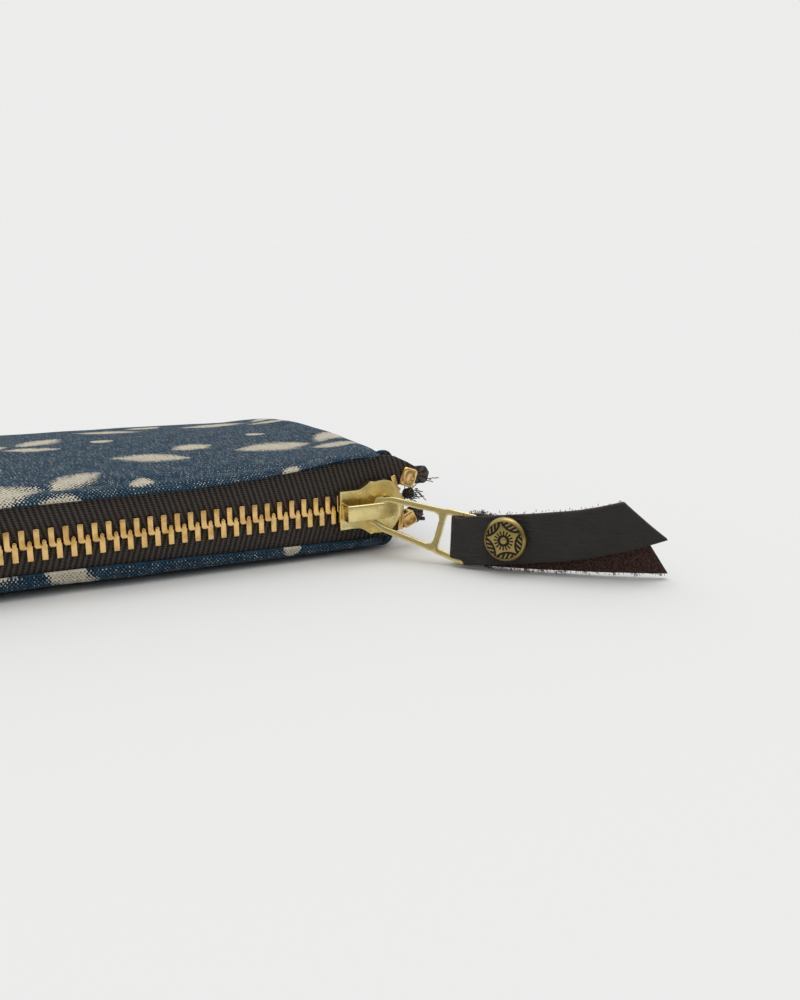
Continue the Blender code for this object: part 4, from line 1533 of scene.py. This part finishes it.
@dataclass
class TapeEnd:
    """A tape's free end, folded back on itself into a ribbed nub."""

    name: str
    slot: str
    centre: tuple[float, float]
    size: tuple[float, float, float]
    tilt: float

    def build(self, finishes: Finishes) -> bpy.types.Object:
        """Make the nub.

        Args:
            finishes: every material.

        Returns:
            The new object.
        """
        bm = bmesh.new()
        ribs = bm.verts.layers.float_vector.new("ribs")
        bmesh.ops.create_cube(bm, size=2.0)
        bmesh.ops.subdivide_edges(bm, edges=bm.edges[:], cuts=23, use_grid_fill=True)
        for vert in bm.verts:
            spot = on_rounded_block(vert.co, 2.6)
            phase = atan2(spot.z, spot.x + 0.6) * 9
            vert[ribs] = (phase, spot.y * 12, 0.0)
            swell = 1 + 0.05 * sin(phase) + 0.12 * noise.noise(spot * 1.8)
            vert.co = Vector([c * size / 2 * swell for c, size in zip(spot, self.size)])
        turn = Matrix.Rotation(radians(self.tilt), 4, "Y")
        place = Matrix.Translation((self.centre[0], FRONT_Y + 0.4 * MM, self.centre[1]))
        bm.transform(place @ turn)
        return piece(self.name, bm, [finishes.tape], "wallet", None)


@dataclass
class LooseEnds:
    """The loose threads at the tape's ends, and the fuzz along the leather's rough edges."""

    tab: LeatherTab
    draw: random.Random = field(default_factory=lambda: random.Random(12))
    thread_radius: float = 0.11 * MM
    fuzz_radius: float = 0.06 * MM

    def around(self, middle: tuple, spread: float, reach: tuple, count: int) -> list[Root]:
        """A few threads round a point, all leaning one way.

        Args:
            middle: the point, in millimetres.
            spread: how far from it they start.
            reach: their direction times their length, in millimetres.
            count: how many.

        Returns:
            Each thread's root and reach.
        """
        made = []
        for _ in range(count):
            shift = Vector([self.draw.uniform(-1, 1) for _ in range(3)]) * spread
            lean = Vector(reach) * MM * self.draw.uniform(0.6, 1.3)
            made.append((Vector(middle) * MM + shift, lean + shift * 1.4))
        return made

    def along_edge(self, tail: float, level: float, count: int, last: float) -> list[Root]:
        """Fuzz along one long edge of the leather strip.

        Args:
            tail: -1 for the rear tail and 1 for the front one.
            level: 0 for the lower edge and 1 for the upper one.
            count: how many.
            last: the share of the tail where it ends.

        Returns:
            Each hair's root and reach.
        """
        made = []
        for _ in range(count):
            root = self.tab.matrix() @ self.tab.point(tail * self.draw.uniform(0.17, last), level)
            root += Vector([self.draw.uniform(-1, 1) for _ in range(3)]) * 0.35 * MM
            sideways, across = self.draw.uniform(-0.4, 0.4), self.draw.uniform(-0.4, 0.2)
            reach = Vector((sideways, across, (2 * level - 1) * 0.4)) * MM
            made.append((root, reach * self.draw.uniform(0.5, 1.3)))
        return made

    def build(self, finishes: Finishes) -> None:
        """Make the threads, then the fuzz.

        Args:
            finishes: every material.
        """
        threads = self.around((75.6, -50.2, 13.6), 0.4 * MM, (1.9, -0.3, -0.5), 3)
        threads += self.around((72.8, -50.2, 11.6), 0.5 * MM, (1.2, -0.2, -0.7), 9)
        threads += self.around((71.4, -49.9, 10.9), 0.8 * MM, (0.5, -0.4, 0.2), 26)
        threads += self.around((72.6, -49.9, 7.6), 0.6 * MM, (0.6, -0.3, 0.4), 14)
        Fibres("tape_threads", "wallet", "upper_tape", self.thread_radius).build(threads, finishes.thread, 3)
        fuzz = self.along_edge(-1.0, 0.0, 170, 0.99)
        fuzz += self.along_edge(-1.0, 0.0, 130, 0.6)
        fuzz += self.along_edge(-1.0, 1.0, 200, 0.42)
        fuzz += self.along_edge(1.0, 1.0, 60, 0.99)
        Fibres("leather_fuzz", "tab", "leather_tab", self.fuzz_radius).build(fuzz, finishes.flesh, 4)


# Stage


def place_object(name: str, data: bpy.types.ID) -> bpy.types.Object:
    """Put an object with that data into the scene."""
    made = bpy.data.objects.new(name, data)
    bpy.context.scene.collection.objects.link(made)
    return made


class Stage:
    """The floor, the plain background, the lamp and the camera."""

    def build(self) -> None:
        """Make all of them."""
        self.build_floor()
        self.build_world()
        self.build_sun()
        self.build_camera()

    def build_floor(self) -> None:
        """Make the pale floor."""
        mesh = bpy.data.meshes.new("floor")
        bm = bmesh.new()
        bmesh.ops.create_grid(bm, x_segments=1, y_segments=1, size=FLOOR_HALF)
        bm.to_mesh(mesh)
        bm.free()
        tree = Tree("floor_white")
        tree.set(Base_Color=BACKDROP, Roughness=0.9, Specular_IOR_Level=0.1)
        mesh.materials.append(tree.material)
        floor_object = place_object("floor", mesh)

    def build_world(self) -> None:
        """Make the sky: flat to the camera, and shaded by direction for the light and for the metals."""
        world = bpy.data.worlds.new("studio")
        world.use_nodes = True
        tree = world.node_tree
        direction = add_node(tree, "TexCoord", {}).outputs["Generated"]
        height = add_node(tree, "VectorMath", {0: direction, 1: SKY_BRIGHTEST}, operation="DOT_PRODUCT")
        lit = self.shade(tree, height.outputs["Value"], SKY_SHADES)
        mirrored = self.shade(tree, height.outputs["Value"], MIRROR_SHADES)
        ray = add_node(tree, "LightPath", {}).outputs
        glossy, camera, passing = ray["Is Glossy Ray"], ray["Is Camera Ray"], ray["Is Transmission Ray"]
        colour = add_node(tree, "Mix", {}, data_type="RGBA")
        for place, value in ((0, glossy), (7, mirrored)):
            tree.links.new(value, colour.inputs[place])
        colour.inputs[6].default_value = (*BACKDROP, 1.0)
        seen = add_node(tree, "Background", {"Color": colour.outputs[2], "Strength": 1.0})
        straight = add_node(tree, "Math", {0: camera, 1: passing}, operation="MAXIMUM").outputs[0]
        any_of = add_node(tree, "Math", {0: straight, 1: glossy}, operation="MAXIMUM").outputs[0]
        light = tree.nodes["Background"]
        light.inputs["Strength"].default_value = 1.0
        tree.links.new(lit, light.inputs["Color"])
        blend = add_node(tree, "MixShader", {0: any_of, 1: light.outputs[0], 2: seen.outputs[0]})
        tree.links.new(blend.outputs[0], tree.nodes["World Output"].inputs[0])
        bpy.context.scene.world = world

    def shade(self, tree: bpy.types.NodeTree, height: Socket, shades: tuple[float, float]) -> Socket:
        """The sky's brightness, from how near a direction is to the brightest one.

        Args:
            tree: the world's tree.
            height: the direction's share of the brightest one.
            shades: the darkest and the brightest value.

        Returns:
            The brightness.
        """
        dark, bright = shades
        sockets = {"Value": height, "From Min": -0.6, "From Max": 0.9, "To Min": dark, "To Max": bright}
        return add_node(tree, "MapRange", sockets, interpolation_type="SMOOTHSTEP").outputs[0]

    def build_sun(self) -> None:
        """Make the one broad lamp."""
        lamp = bpy.data.lights.new("window_light", "SUN")
        lamp.energy = SUN_STRENGTH
        lamp.angle = SUN_SPREAD
        sun = place_object("window_light", lamp)
        sun.rotation_euler = Vector(SUN_FROM).to_track_quat("Z", "Y").to_euler()

    def build_camera(self) -> None:
        """Make the camera that was fitted to the photograph."""
        lens = bpy.data.cameras.new("camera")
        lens.lens = FOCAL_LENGTH
        lens.sensor_width = 36.0
        lens.clip_start = 0.005
        camera = place_object("camera", lens)
        camera.location = Vector(CAMERA_PLACE) * MM
        camera.rotation_euler = (radians(90 - CAMERA_DOWN), 0.0, radians(-CAMERA_RIGHT))
        bpy.context.scene.camera = camera
        bpy.context.scene.view_settings.view_transform = "Standard"


def dress_solids(nodes: dict, finishes: Finishes) -> None:
    """Give the solids that stay in view their materials.

    Args:
        nodes: every solid by its name.
        finishes: every material.
    """
    for name, finish in (
        ("lining_top", finishes.lining),
        ("lining_bottom", finishes.lining),
        ("rivet_post", finishes.gold),
    ):
        for slot in nodes[name].material_slots:
            slot.material = finish


def main() -> None:
    """Build the wallet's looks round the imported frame."""
    logging.basicConfig(level=logging.INFO, format="%(name)s: %(message)s")
    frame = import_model()
    Stage().build()
    finishes = Finishes()
    dress_solids(frame["nodes"], finishes)
    for word, side in (("top", Side.UPPER), ("bottom", Side.LOWER)):
        ClothHalf(f"cloth_{word}", side, f"outer_{word}_panel").build(finishes)
    for word, edge, side in (("top", "upper", Side.UPPER), ("bottom", "lower", Side.LOWER)):
        Tape(f"tape_{word}", side, f"{edge}_tape").build(finishes)
    for word, edge, side in (("top", "upper", Side.UPPER), ("bottom", "lower", Side.LOWER)):
        TeethRow(f"teeth_{word}", side, f"{edge}_teeth").build(finishes)
    StopPiece(
        "stop_top",
        "upper_top_stop",
        centre=(TOP_STOP_X, 14.6 * MM),
        size=(3.5 * MM, 3.2 * MM, 3.9 * MM),
        tilt=20,
    ).build(finishes)
    StopPiece(
        "stop_low",
        "lower_top_stop",
        centre=(71.0 * MM, 5.9 * MM),
        size=(3.3 * MM, 3.0 * MM, 3.1 * MM),
        tilt=-25,
    ).build(finishes)
    StopPiece(
        "stop_far",
        "bottom_stop",
        centre=(BOTTOM_STOP_X, ZIP_HEIGHT),
        size=(3.0 * MM, 3.0 * MM, 6.0 * MM),
    ).build(finishes)
    Slider().build(finishes)
    Pull().build(finishes)
    tab = LeatherTab()
    tab.build(finishes)
    RivetCap().build(finishes, tab.rivet_matrix())
    TapeEnd(
        "tape_nub_top",
        "upper_tape",
        centre=(73.9 * MM, 14.7 * MM),
        size=(4.4 * MM, 1.9 * MM, 3.6 * MM),
        tilt=10,
    ).build(finishes)
    TapeEnd(
        "tape_fray",
        "upper_tape",
        centre=(71.5 * MM, 11.0 * MM),
        size=(2.6 * MM, 1.3 * MM, 2.2 * MM),
        tilt=0,
    ).build(finishes)
    TapeEnd(
        "tape_nub_low",
        "lower_tape",
        centre=(72.9 * MM, 6.6 * MM),
        size=(3.8 * MM, 1.8 * MM, 3.6 * MM),
        tilt=35,
    ).build(finishes)
    LooseEnds(tab).build(finishes)


if __name__ == "__main__":
    main()
